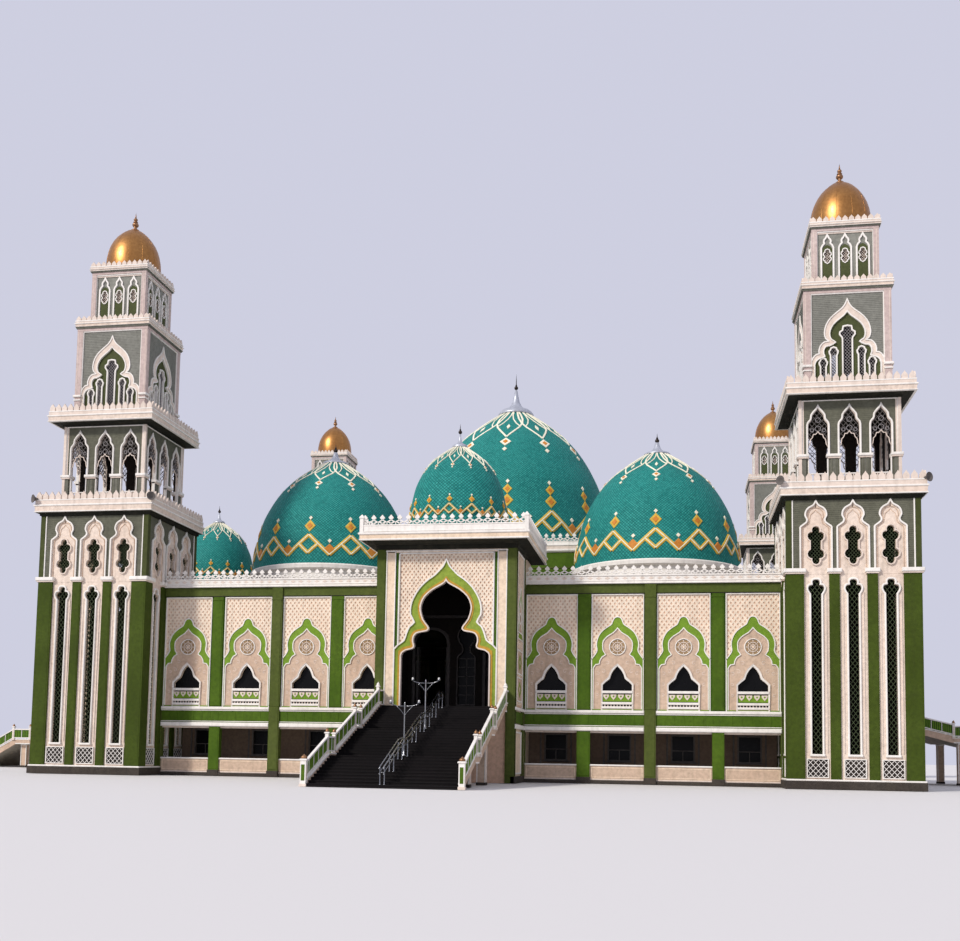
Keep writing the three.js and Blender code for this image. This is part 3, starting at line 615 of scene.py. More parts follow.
def lattice(part, rect, polys, pitch_x, pitch_z, w, d0, d1, mat, keep_outside=True, knots=None):
    """Two families of slanting ribs over a rectangle, cut off at the outlines."""
    x0, x1, z0, z1 = rect
    slope = pitch_z / pitch_x
    H = z1 - z0
    run = H / slope
    for sgn in (1, -1):
        start = x0 - run if sgn > 0 else x0
        n = int((x1 - x0 + run) / pitch_x) + 2
        for i in range(n):
            xa = start + i * pitch_x
            p = (xa, z0) if sgn > 0 else (xa, z0)
            q = (xa + sgn * run, z1)
            if sgn < 0 and xa > x1 + run:
                break
            for a, b in clip(p, q, rect, polys, keep_outside):
                if math.hypot(b[0] - a[0], b[1] - a[1]) > w * 0.8:
                    ribbon(part, [a, b], w, d0, d1 + (0.004 if sgn > 0 else 0), mat, bevel=0)


# ------------------------------------------------------------------ measured outlines
def circle(cx, cz, r, n=20, start=0.0):
    return [(cx + r * math.cos(start + 2 * math.pi * i / n), cz + r * math.sin(start + 2 * math.pi * i / n)) for i in range(n)]


def diamond(cx, cz, hw, hh):
    return [(cx + hw, cz), (cx, cz + hh), (cx - hw, cz), (cx, cz - hh)]


BAND_OUT = smooth_line([(0, 10.95), (.15, 10.91), (.27, 10.78), (.34, 10.60), (.41, 10.45), (.56, 10.34), (.80, 10.18), (1.06, 9.95),
                        (1.25, 9.65), (1.36, 9.30), (1.37, 9.0), (1.33, 8.74), (1.42, 8.52), (1.60, 8.27), (1.72, 8.12)], 2)
BAND_IN = smooth_line([(0, 10.21), (.28, 9.9), (.66, 9.66), (.93, 9.35), (.97, 9.04), (.93, 8.69), (.78, 8.45),
                       (1.0, 8.3), (1.16, 8.02), (1.19, 7.83), (1.42, 7.79), (1.575, 7.55)], 2)
WINDOW = smooth_line([(0, 7.68), (.25, 7.42), (.42, 7.1), (.5, 6.85), (.75, 6.65), (.95, 6.45)], 2)
FRAME = smooth_line([(0, 7.86), (.34, 7.54), (.52, 7.2), (.6, 6.97), (.82, 6.77), (1.06, 6.52)], 2)
PILASTERS = [(0, .40, "bright"), (4.24, .38, "olive"), (8.46, .43, "bright"), (12.78, .37, "olive"), (17.12, .375, "bright")]
PILASTERS = PILASTERS + [(-c, h, k) for c, h, k in PILASTERS[1:]]
ARCHES = [2.12, 6.3, 10.65, 14.92, 19.32]
ARCHES = [-c for c in ARCHES] + ARCHES
BAYEND, SIDE_SHIFT = 21.1, -4.3
HW = 1.72   # half width of a wing panel


def up(half):
    """Half outline given from the apex down, made a whole CCW outline closed along its foot."""
    return mirror_out(half[::-1])


def bay():
    """One window bay of the hall wall, centred on 0, between depths 25.55 and 26."""
    p = Part()
    win = up(WINDOW + [(.95, 4.82)])
    frm = up(FRAME + [(1.06, 4.78)])
    rect = [(-HW, 4.74), (HW, 4.74), (HW, 12.48), (-HW, 12.48)]
    plate(p, [rect, win], 25.55, 25.85, "field", side="cream")
    outer = up(BAND_OUT + [(HW, 4.80)])
    inner = up(BAND_IN + [(1.575, 4.86)])
    plate(p, [inner, up(FRAME + [(1.06, 4.90)])], 25.84, 25.90, "pink")
    band = up(BAND_OUT + [(HW, 4.80)])
    plate(p, [band, inner], 25.84, 25.94, "leaf")
    # white lines on both edges of the band
    ribbon(p, [(-x, z) for x, z in BAND_OUT[::-1]] + BAND_OUT[1:], .065, 25.85, 25.985, "white")
    ribbon(p, [(-x, z) for x, z in ([(1.575, 4.86)] + BAND_IN[::-1])] + BAND_IN[1:] + [(1.575, 4.86)], .06, 25.85, 25.975, "white")
    # window frame in two steps
    plate(p, [frm, win], 25.80, 25.97, "white", bevel=.025)
    ribbon(p, [(-x, z) for x, z in ([(1.02, 4.86)] + FRAME[::-1])] + FRAME[1:] + [(1.02, 4.86)], .035, 25.95, 25.995, "warm", bevel=.01)
    # ribs outside the ogee
    lattice(p, (-HW + .05, HW - .05, 8.0, 12.44), [outer], .30, .40, .125, 25.83, 25.88, "rib")
    # medallion
    plate(p, [circle(0, 8.95, .56, 26), circle(0, 8.95, .49, 26)], 25.89, 25.975, "white", bevel=.02)
    plate(p, [circle(0, 8.95, .49, 26)], 25.89, 25.93, "tan")
    plate(p, [circle(0, 8.95, .33, 20), circle(0, 8.95, .275, 20)], 25.92, 25.965, "warm", bevel=.012)
    for i in range(8):
        a = math.pi * i / 4
        ca, sa = math.cos(a), math.sin(a)
        leaf = [(.05, 0), (.15, .045), (.25, 0), (.15, -.045)]
        plate(p, [[(x * ca - y * sa, 8.95 + x * sa + y * ca) for x, y in leaf]], 25.92, 25.955, "warm")
        leaf = [(.345, 0), (.41, .04), (.475, 0), (.41, -.04)]
        plate(p, [[(x * ca - y * sa, 8.95 + x * sa + y * ca) for x, y in leaf]], 25.92, 25.95, "warm")
    plate(p, [circle(0, 8.95, .07, 10)], 25.92, 25.965, "cream")
    # low relief scrolls between window and medallion, in the shoulders of the ogee
    for sx in (-1, 1):
        for cx, cz, r in ((.66, 7.9, .15), (.92, 7.35, .17), (1.28, 7.2, .14), (1.3, 6.5, .12), (1.32, 5.8, .12)):
            spiral = [(sx * (cx + r * (1 - t / 9) * math.cos(.9 + t * .8)), cz + r * (1 - t / 9) * math.sin(.9 + t * .8)) for t in range(8)]
            ribbon(p, spiral, .03, 25.89, 25.916, "warm", bevel=0)
    # glazing, well back
    plate(p, [up(WINDOW + [(.95, 4.78)])], 25.60, 25.635, "glass")
    # window rail
    bar(p, -1.0, 1.0, 5.90, 6.07, 25.86, 26.02, "white", bevel=.02)
    bar(p, -.95, .95, 5.37, 5.83, 25.84, 25.88, "leaf")
    for x in (-.72, -.24, .24, .72):
        plate(p, [[(x - .2, 5.83), (x - .17, 5.66), (x - .08, 5.56), (x, 5.46), (x + .08, 5.56), (x + .17, 5.66), (x + .2, 5.83)]], 25.87, 25.92, "warm", bevel=.012)
        plate(p, [diamond(x, 5.70, .07, .08)], 25.9, 25.935, "leaf", bevel=.01)
    bar(p, -1.0, 1.0, 5.17, 5.33, 25.86, 26.0, "white", bevel=.02)
    for i in range(9):
        x = -.8 + .2 * i
        bar(p, x - .03, x + .03, 5.05, 5.17, 25.86, 25.93, "warm")
    bar(p, -1.0, 1.0, 4.90, 5.05, 25.86, 26.0, "white", bevel=.02)
    # white moulding along both sides and the top of the panel
    for x in (-HW + .035, HW - .035):
        bar(p, x - .035, x + .035, 4.78, 12.44, 25.84, 25.985, "white", bevel=.015)
    bar(p, -HW, HW, 12.38, 12.47, 25.84, 26.0, "white", bevel=.02)
    return p


BAY = bay()


def stretch_panels(a, b):
    inner = sorted((c, h, k) for c, h, k in PILASTERS if c - .5 > a and c + .5 < b)
    edges = [a + .06] + [e for c, h, _ in inner for e in (c - h, c + h)] + [b - .06]
    return inner, list(zip(edges[::2], edges[1::2]))


def wall_stretch(a, b):
    """A run of hall wall on the front side from across a to b, from the ground to the beam."""
    p = Part()
    pil, panels = stretch_panels(a, b)
    for x0, x1 in panels:
        c = min(ARCHES, key=lambda t: abs(t - (x0 + x1) / 2))
        p.stamp(BAY, [(0.0, (c, 0, 0))])
        for s0, s1 in ((x0, c - HW), (c + HW, x1)):
            if s1 - s0 > .004:
                bar(p, s0, s1, 4.74, 12.48, 25.55, 25.93, "green")
    for c, h, k in pil:
        low = 0.0 if k == "olive" else 4.74
        dep = 26.16 if k == "olive" else 26.05
        bar(p, c - h, c + h, low, 13.10 if k == "olive" else 12.48, 25.55, dep - .03, k)
        # raised middle with shallow edge grooves
        bar(p, c - h + .06, c + h - .06, low + (.5 if low == 0 else .12), 12.34, 25.9, dep, k, bevel=.02)
        if k != "olive":
            bar(p, c - h, c + h, 0, 3.42, 25.55, 26.03, k)
            bar(p, c - h + .06, c + h - .06, .5, 3.3, 25.9, 26.05, k, bevel=.02)
        bar(p, c - h - .03, c + h + .03, 0, .42, 25.5, dep + .05, "base", bevel=.02)
        for z0, z1, o in ((12.2, 12.3, .03), (4.84, 4.94, .03)):
            bar(p, c - h - .01, c + h + .01, z0, z1, 25.9, dep + o, k, bevel=.02)
    for e0, e1 in ((a + .004, a + .06), (b - .06, b - .004)):
        bar(p, e0, e1, 0, 12.48, 25.55, 26.03, "olive")
    # band over the veranda, broken by the olive pilasters
    cuts = [(c - h, c + h) for c, h, k in pil if k == "olive"]
    xs = [a + .01] + [e for lo, hi in cuts for e in (lo, hi)] + [b - .01]
    for x0, x1 in zip(xs[::2], xs[1::2]):
        bar(p, x0, x1, 3.66, 4.60, 25.55, 26.0, "bright")
        bar(p, x0, x1, 4.58, 4.78, 25.55, 26.12, "white", bevel=.04)
        bar(p, x0, x1, 4.50, 4.56, 25.9, 26.05, "white", bevel=.015)
        bar(p, x0, x1, 3.41, 3.69, 25.55, 26.12, "white", bevel=.05)
        bar(p, x0, x1, 3.74, 3.79, 25.9, 26.04, "white", bevel=.015)
        n = max(1, int(round((x1 - x0) / .62)))
        w = (x1 - x0) / n
        for i in range(n):
            cx = x0 + w * (i + .5)
            bar(p, cx - w * .5 + .012, cx + w * .5 - .012, 3.84, 4.44, 25.98, 26.015, "bright", bevel=.01)
        # low wall between the columns
        bar(p, x0, x1, 0, 1.16, 25.72, 25.90, "pink")
        bar(p, x0, x1, 1.14, 1.25, 25.68, 25.97, "white", bevel=.03)
        bar(p, x0, x1, .0, .22, 25.66, 26.08, "base", bevel=.02)
        bar(p, x0, x1, .22, .32, 25.70, 25.94, "warm", bevel=.02)
    for x0, x1 in panels:
        # the low wall's sunk field, soffit line over the opening
        ribbon(p, [(x0 + .12, .42), (x1 - .12, .42), (x1 - .12, 1.04), (x0 + .12, 1.04)], .05, 25.88, 25.915, "cream", closed=True, bevel=.012)
        bar(p, x0, x1, 3.30, 3.42, 25.62, 25.9, "warm", bevel=.03)
    # olive beam over the bays
    bar(p, a + .01, b - .01, 12.48, 12.95, 25.55, 26.02, "olive")
    # dark line along the foot of the beam: painted shade
    bar(p, a + .01, b - .01, 12.47, 12.52, 25.9, 26.05, "olive_dk", bevel=.015)
    return p


# ------------------------------------------------------------------ parapet fret
def fret_cell(w=.57, k=1.0):
    """One unit of the roof fret, foot at height 0: ring diamond, neck and pointed head."""
    p = Part()
    h = w / 2
    plate(p, [diamond(0, .20 * k, h * 1.02, .155 * k), diamond(0, .20 * k, h * .52, .078 * k)], -.05, .05, "white")
    plate(p, [[(.04, .315 * k), (.17, .455 * k), (.115, .53 * k), (0, .66 * k), (-.115, .53 * k), (-.17, .455 * k), (-.04, .315 * k)]], -.05, .05, "white")
    bar(p, -.055, .055, 0, .09 * k, -.05, .05, "white")
    bar(p, -h * 1.02, -h * .86, .0, .2 * k, -.04, .04, "white")
    return p


FRET = fret_cell()


def fret_run(p, a, b, d, z, k=1.0, cell=None):
    """Fret from across a to b at depth d on the front side."""
    n = max(1, int(round((b - a) / .57)))
    w = (b - a) / n
    s = w / .57
    mats = []
    for i in range(n):
        m = np.eye(4)
        m[0, 0] = s
        m[2, 2] = k
        m[:3, 3] = (a + w * (i + .5), -d, z)
        mats.append(m)
    p.stamp(cell or FRET, mats)


def quarter_matrix(q):
    a = q * math.pi / 2
    m = np.eye(4)
    m[:2, :2] = [[round(math.cos(a)), -round(math.sin(a))], [round(math.sin(a)), round(math.cos(a))]]
    return m


def add_turned(p, other, quarter=0, move=(0, 0, 0), mirror=False):
    t = other.turned(quarter, move, mirror)
    v = t.v[0]
    n = p.n
    p.v.append(v)
    p.f += [tuple(i + n for i in f) for f in t.f]
    p.m += t.m
    p.s += t.s
    p.n += len(v)


def edge_run(a, b):
    """Roof edge over a run of hall wall: fascia, its lines and the fret."""
    p = Part()
    bar(p, a, b, 12.96, 13.12, 25.75, 26.02, "olive")
    bar(p, a, b, 13.12, 13.69, 25.75, 26.12, "white")
    bar(p, a, b, 13.12, 13.20, 25.9, 26.20, "white", bevel=.03)
    bar(p, a, b, 13.30, 13.35, 25.9, 26.16, "white", bevel=.015)
    bar(p, a, b, 13.62, 13.72, 25.86, 26.19, "white", bevel=.03)
    n = int(round((b - a) / .57))
    w = (b - a) / n
    for i in range(n):
        plate(p, [diamond(a + w * (i + .5), 13.49, w * .34, .09)], 26.1, 26.14, "warm", bevel=.01)
    fret_run(p, a, b, 26.08, 13.70)
    return p


def roof_deck():
    p = Part()
    e, b, z0, z1 = 25.85, 21.09, 12.96, 13.25
    n = 4.545
    # deck as strips round the holes: a cross-shaped plan with square openings under the domes
    def slab(x0, x1, y0, y1):
        v = [(x0, y0, z0), (x1, y0, z0), (x1, y1, z0), (x0, y1, z0), (x0, y0, z1), (x1, y0, z1), (x1, y1, z1), (x0, y1, z1)]
        p.add(v, [(4, 5, 6, 7), (3, 2, 1, 0), (0, 1, 5, 4), (1, 2, 6, 5), (2, 3, 7, 6), (3, 0, 4, 7)], "deck")
    q0, q1 = 8.8, 17.2
    slab(-b, b, q1, e)
    slab(-b, -n, -e, -q1)
    slab(n, b, -e, -q1)
    slab(-n, n, -22.4, -q1)
    slab(-b, -q1, -q1, q1)
    slab(q1, b, -q1, q1)
    slab(-q1, q1, -q0, q0)
    slab(-q0, q0, -q1, -q0)
    slab(-q0, q0, q0, q1)
    for s in (-1, 1):
        x0, x1 = (b, e) if s > 0 else (-e, -b)
        slab(x0, x1, -b, -8.85)
        slab(x0, x1, .25, b)
        x0, x1 = (b, 22.4) if s > 0 else (-22.4, -b)
        slab(x0, x1, -8.85, .25)
    runs = [(0, -BAYEND + .01, -4.56), (0, 4.56, BAYEND - .01), (2, -BAYEND + .01, BAYEND - .01),
            (1, -BAYEND + .01, -8.86), (1, .26, BAYEND - .01), (3, 8.86, BAYEND - .01), (3, -BAYEND + .01, -.26)]
    for q, a0, b0 in runs:
        add_turned(p, edge_run(a0, b0), q)
    return p


# ------------------------------------------------------------------ ground storey behind the veranda
def setback(centres):
    p = Part()
    A, B = -BAYEND + .004, BAYEND - .004
    holes = [[(c - .75, 1.5), (c + .75, 1.5), (c + .75, 3.25), (c - .75, 3.25)] for c in centres]
    # wall, trim and window bars in darkened colours: painted shade under the veranda
    plate(p, [[(A, .354), (B, .354), (B, 4.33), (A, 4.33)]] + holes, 22.15, 22.40, "shade")
    bar(p, A, B, .354, .62, 22.38, 22.46, "base", bevel=.02)
    bar(p, A, B, 3.55, 3.66, 22.38, 22.46, "dimtrim", bevel=.03)
    for c in centres:
        ribbon(p, [(c - .75, 1.5), (c + .75, 1.5), (c + .75, 3.25), (c - .75, 3.25)], .1, 22.20, 22.45, "dimtrim", closed=True)
        bar(p, c - .9, c + .9, 1.38, 1.46, 22.38, 22.53, "dimtrim", bevel=.02)
        bar(p, c - .76, c + .76, 1.49, 3.26, 22.24, 22.265, "glass")
        bar(p, c - .74, c + .74, 2.20, 2.26, 22.25, 22.32, "dimtrim")
        bar(p, c - .03, c + .03, 1.5, 2.22, 22.25, 22.32, "dimtrim")
        for s in (-1, 1):
            bar(p, c + s * 1.05 - .06, c + s * 1.05 + .06, .7, 3.5, 22.38, 22.43, "dimtrim", bevel=.02)
    return p


# ------------------------------------------------------------------ porch
PORTAL = [(2.85, 4.74), (2.85, 7.95), (2.78, 8.15), (2.55, 8.33), (2.15, 8.42), (2.03, 8.58), (2.10, 8.85),
          (2.08, 9.15), (1.9, 9.40), (1.55, 9.5), (1.22, 9.56), (1.10, 9.70), (1.20, 9.90), (1.48, 10.28), (1.65, 10.85),
          (1.63, 11.25), (1.4, 11.75), (.9, 12.2), (.45, 12.45), (.12, 12.65), (0, 12.84)]
PORTAL_OUT = [(0, 14.15), (.21, 13.70), (.48, 13.40), (.78, 13.10), (1.16, 12.84), (1.54, 12.50), (1.84, 12.13),
              (2.11, 11.65), (2.27, 11.14), (2.27, 10.58), (2.02, 10.10), (2.33, 9.81), (2.52, 9.37), (2.67, 8.93),
              (3.05, 8.65), (3.24, 8.45)]


def portal_lines():
    inn = smooth_line(PORTAL[1:], 2)
    out = smooth_line(PORTAL_OUT, 2)
    return inn, out


def porch_walls():
    p = Part()
    inn, out = portal_lines()
    hole = mirror_out([(2.85, 4.74)] + inn)
    D = 30.46
    # front wall
    face = [(-4.54, 0), (4.54, 0), (4.54, 15.05), (-4.54, 15.05)]
    plate(p, [face, hole], 30.11, 30.28, "field", side="pink")
    for s in (-1, 1):
        a, b = sorted((s * 3.93, s * 4.54))
        bar(p, a, b, 0, 15.05, 30.1, D - .03, "olive")
        bar(p, a + .07, b - .07, .5, 14.8, 30.3, D, "olive", bevel=.02)
        a, b = sorted((s * 3.30, s * 3.93))
        bar(p, a, b, 4.74, 14.70, 30.2, 30.40, "cream")
        for x in (3.335, 3.895):
            bar(p, s * x - .035, s * x + .035, 4.74, 14.72, 30.3, 30.45, "white", bevel=.015)
        a, b = sorted((s * 3.12, s * 3.30))
        bar(p, a, b, 8.40, 14.62, 30.2, 30.36, "green")
        bar(p, s * 3.07 - .05, s * 3.07 + .05, 8.62, 14.62, 30.2, 30.43, "white", bevel=.02)
    # lattice field and its frame
    outer = mirror_out([(3.32, 4.74), (3.32, 8.40)] + out[::-1])
    lattice(p, (-3.02, 3.02, 8.5, 14.52), [outer], .27, .37, .11, 30.26, 30.32, "rib")
    bar(p, -3.12, 3.12, 14.50, 14.60, 30.2, 30.43, "white", bevel=.02)
    bar(p, -3.93, 3.93, 14.60, 14.78, 30.2, 30.40, "cream")
    bar(p, -3.96, 3.96, 14.66, 14.74, 30.3, 30.46, "white", bevel=.02)
    # dark band under the porch cornice: painted shade
    bar(p, -4.54, 4.54, 14.80, 15.05, 30.1, 30.50, "olive_dk")
    # portal bands: green, then ochre next to the opening, with white and cream lines
    plate(p, [outer, hole], 30.2, 30.37, "yg")
    mid = [(x + .20, z) for x, z in [(2.85, 4.74), (2.85, 7.95)]] + [(2.98, 8.28), (2.72, 8.50), (2.30, 8.60), (2.24, 8.72), (2.30, 8.95),
           (2.24, 9.28), (2.02, 9.56), (1.62, 9.66), (1.36, 9.72), (1.36, 9.82), (1.64, 10.2), (1.80, 10.8), (1.79, 11.3), (1.54, 11.86),
           (1.02, 12.33), (.55, 12.6), (.2, 12.82), (0, 13.06)]
    mid = smooth_line(mid, 2)
    plate(p, [mirror_out(mid), hole], 30.3, 30.40, "gold_paint")
    line = [(3.32, 4.74), (3.32, 8.40)] + out[::-1]
    ribbon(p, line + [(-x, z) for x, z in line[::-1][1:]], .09, 30.25, 30.46, "white", bevel=.025)
    line = [(2.88, 4.74)] + [(x + .03 if z < 8.2 else x, z) for x, z in inn]
    ribbon(p, line + [(-x, z) for x, z in line[::-1][1:]], .085, 30.12, 30.46, "warm", bevel=.025)
    # inside of the front wall, dark as painted shade
    plate(p, [face, hole], 30.09, 30.112, "dim")
    # side walls, the stretch in front of the hall shows the same order as the bays
    side = Part()
    y0, y1 = -30.44, -26.02
    bar(side, -30.11, -22.5, 0, 15.05, 4.22, 4.42, "cream")
    # inner face of the side wall: painted shade
    bar(side, -30.10, -22.5, 4.7, 15.04, 4.19, 4.225, "dim")
    for a, b in ((y0, -29.75), (-26.75, y1)):
        bar(side, a, b, 0, 15.05, 4.3, 4.52, "olive")
        bar(side, a + .07, b - .07, .5, 14.8, 4.4, 4.54, "olive", bevel=.02)
    for x in (-29.70, -26.80):
        bar(side, x - .05, x + .05, 4.78, 14.70, 4.3, 4.53, "white", bevel=.02)
    bar(side, -29.75, -26.75, 4.74, 14.8, 4.3, 4.46, "field")
    shape = [(x * .74 - 28.25, z + 1.6) for x, z in up(BAND_OUT + [(HW, 8.0)])]
    inner = [(x * .74 - 28.25, z + 1.6) for x, z in up(BAND_IN + [(1.4, 7.6)])]
    lattice(side, (-29.65, -26.85, 4.95, 14.6), [shape], .27, .40, .058, 4.44, 4.505, "rib")
    full = [(-28.25 + 1.27, 6.5)] + shape[1:-1] + [(-28.25 - 1.27, 6.5)]
    plate(side, [shape, inner], 4.4, 4.52, "yg")
    plate(side, [inner], 4.4, 4.49, "pink")
    ribbon(side, shape, .07, 4.4, 4.545, "white", closed=True)
    ribbon(side, inner, .06, 4.4, 4.54, "white", closed=True)
    plate(side, [circle(-28.25, 10.55, .40, 20), circle(-28.25, 10.55, .32, 20)], 4.48, 4.535, "white", bevel=.015)
    plate(side, [circle(-28.25, 10.55, .24, 16)], 4.48, 4.525, "tan")
    # ladder of sunk panels under the ogee
    for z0, z1 in ((5.2, 6.7), (6.95, 8.45)):
        ribbon(side, [(-29.35, z0), (-27.15, z0), (-27.15, z1), (-29.35, z1)], .08, 4.44, 4.535, "white", closed=True)
        bar(side, -29.31, -27.19, z0 + .04, z1 - .04, 4.44, 4.51, "pink")
        plate(side, [diamond(-28.25, (z0 + z1) / 2, .7, .5), diamond(-28.25, (z0 + z1) / 2, .48, .33)], 4.5, 4.54, "yg", bevel=.01)
    bar(side, y0 + .02, y1, 4.58, 4.78, 4.3, 4.60, "white", bevel=.04)
    bar(side, y0 + .02, y1, 3.76, 4.50, 4.3, 4.52, "bright")
    bar(side, y0 + .02, y1, 3.41, 3.69, 4.3, 4.60, "white", bevel=.04)
    ribbon(side, [(-29.6, .6), (-26.9, .6), (-26.9, 3.2), (-29.6, 3.2)], .1, 4.4, 4.5, "white", closed=True)
    bar(side, y0, y1, 0, .42, 4.3, 4.60, "base", bevel=.02)
    # dark band under the cornice: painted shade
    bar(side, y0, y1, 14.80, 15.05, 4.3, 4.58, "olive_dk")
    bar(side, -29.75, -26.75, 14.62, 14.74, 4.3, 4.55, "white", bevel=.02)
    # (across, depth) of the side pieces run along Y: turn them onto +X, then mirror for -X
    add_turned(p, side, 1)
    mirror_side = side.turned(1, (0, 0, 0), True)
    p.v.append(mirror_side.v[0])
    n = p.n
    p.f += [tuple(i + n for i in f) for f in mirror_side.f]
    p.m += mirror_side.m
    p.s += mirror_side.s
    p.n += len(mirror_side.v[0])
    # floor of the porch hall in stone slabs
    for i in range(9):
        for j in range(8):
            x0, y = -4.16 + .9244 * i, -30.09 + .905 * j
            v0 = Part()
            bar(v0, x0 + .008, x0 + .916, 4.60, 4.74, -y - .897, -y - .008, "granite" if (i + j) % 2 else "riser")
            p.stamp(v0, [(0, (0, 0, 0))])
    bar(p, -4.19, 4.19, 4.34, 4.62, 22.86, 30.1, "concrete")
    bar(p, -2.84, 2.84, 4.60, 4.74, 30.1, 30.44, "granite")
    # back wall with two arched doorways and a keyhole window between them, its wall and trim darkened as painted shade
    door = [(3.65 - 2.515, 4.76), (3.65 - 2.515, 9.4), (1.05, 9.85), (.80, 10.17), (.42, 10.4), (0, 10.46)]
    doors = [shift(mirror_out(door), s * 2.515) for s in (-1, 1)]
    key = [(.58, 5.24), (.58, 8.46), (.5, 8.62), (.24, 8.85), (.2, 9.1), (.24, 9.35), (.46, 9.62), (.58, 9.98), (.5, 10.32), (.26, 10.62), (0, 10.95)]
    kw = mirror_out(key)
    plate(p, [[(-4.19, 4.62), (4.19, 4.62), (4.19, 15.0), (-4.19, 15.0)]] + doors + [kw], 22.52, 22.80, "dim")
    for s in (-1, 1):
        d = shift(mirror_out(door), s * 2.515)
        o = shift(mirror_out([(door[0][0] + .22, 4.76), (door[1][0] + .22, 9.44)] + [(x * 1.19, z + .2) for x, z in door[2:]]), s * 2.515)
        plate(p, [o, d], 22.7, 22.92, "dimtrim", bevel=.03)
        # two leaves standing open inside the doorway
        for t in (-1, 1):
            a, b = sorted((s * 2.515 + t * 1.12, s * 2.515 + t * .98))
            bar(p, a, b, 4.78, 9.3, 21.9, 22.5, "dimtrim")
    plate(p, [offset(kw, .10), kw], 22.7, 22.93, "dimtrim", bevel=.02)
    plate(p, [kw], 22.56, 22.60, "glass")
    for z in (5.9, 6.55, 7.2, 7.85, 8.45):
        bar(p, -.57, .57, z - .03, z + .03, 22.59, 22.66, "dimtrim")
    bar(p, -.03, .03, 5.24, 8.45, 22.59, 22.66, "dimtrim")
    bar(p, -4.19, 4.19, 4.74, 4.98, 22.7, 22.88, "base", bevel=.02)
    bar(p, -4.19, 4.19, 11.3, 11.5, 22.7, 22.92, "dimtrim", bevel=.03)
    # lower part, behind and under the stair
    bar(p, -4.2, 4.2, 0, 4.34, 30.1, 30.2, "concrete")
    # ceiling
    # dark as painted shade
    bar(p, -4.19, 4.19, 14.7, 15.03, 22.8, 30.1, "dim")
    return p


def rect_plan(x, y0, y1, g=0.0):
    return [(-x - g, y0 - g), (x + g, y0 - g), (x + g, y1 + g), (-x - g, y1 + g)]


def porch_roof():
    p = Part()
    x, y0, y1 = 5.44, -31.75, -21.6
    # cornice: soffit cove in olive darkened as painted shade, cream fascia between white edges
    loft(p, [(rect_plan(x, y0, y1, -.86), 15.054), (rect_plan(x, y0, y1, -.80), 15.10), (rect_plan(x, y0, y1, -.14), 15.17), (rect_plan(x, y0, y1, -.10), 15.21)], "olive_dk")
    loft(p, [(rect_plan(x, y0, y1, -.06), 15.18), (rect_plan(x, y0, y1, 0), 15.20), (rect_plan(x, y0, y1, 0), 15.27), (rect_plan(x, y0, y1, -.03), 15.29)], "white")
    loft(p, [(rect_plan(x, y0, y1, -.04), 15.26), (rect_plan(x, y0, y1, -.03), 15.55)], "cream")
    loft(p, [(rect_plan(x, y0, y1, -.03), 15.53), (rect_plan(x, y0, y1, .05), 15.57), (rect_plan(x, y0, y1, .05), 15.66), (rect_plan(x, y0, y1, 0), 15.69)], "white")
    inner = [(x - .25, y0 + .25), (x - .25, y1 - .25), (-x + .25, y1 - .25), (-x + .25, y0 + .25)]
    loft(p, [(rect_plan(x, y0, y1, -.2), 15.67), (rect_plan(x, y0, y1, -.22), 15.72)], "deck")
    # parapet: solid foot, then the fret, on four sides
    for q, (a, b, d, mv) in enumerate(((-5.36, 5.36, 31.67, None), (-31.67, -21.68, 5.36, None), (-5.36, 5.36, 21.76, None), (21.68, 31.67, 5.36, None))):
        r = Part()
        bar(r, a, b, 15.69, 16.18, d - .14 if d > 0 else d - .02, d if d > 0 else d + .12, "white")
        bar(r, a, b, 16.10, 16.19, d - .17 if d > 0 else d - .05, d + .03 if d > 0 else d + .15, "white", bevel=.02)
        bar(r, a, b, 15.72, 15.80, d - .1 if d > 0 else d, d + .04 if d > 0 else d + .16, "white", bevel=.02)
        fret_run(r, a, b, d - .07 if d > 0 else d + .05, 16.17)
        if q == 0:
            p.stamp(r, [(0, (0, 0, 0))])
        elif q == 1:
            add_turned(p, r, 1)
        elif q == 2:
            p.stamp(r, [(0, (0, 0, 0))])
        else:
            add_turned(p, r, 3)
    for sx in (-1, 1):
        for y in (-31.6, -21.75):
            bar(p, sx * 5.29 - .12, sx * 5.29 + .12, 15.69, 16.62, -y - .12, -y + .12, "white")
            square_loft(p, [(.15, 16.60), (.15, 16.68), (.02, 16.86)], "white", (sx * 5.29, y))
    return p


# ------------------------------------------------------------------ domes
DOME_SHAPE = [(1.0, 0), (1.0, .08), (.998, .105), (.995, .131), (.975, .204), (.93, .341), (.885, .441), (.82, .533), (.745, .620),
              (.66, .698), (.565, .766), (.46, .826), (.375, .870), (.29, .909), (.215, .943), (.155, .968)]
PORCH_SHAPE = [(1.0, 0), (1.0, .12), (.998, .19), (.995, .26), (.975, .325), (.93, .44), (.885, .525), (.82, .605), (.745, .68),
               (.66, .744), (.565, .802), (.46, .852), (.375, .888), (.29, .92), (.215, .948), (.155, .97)]


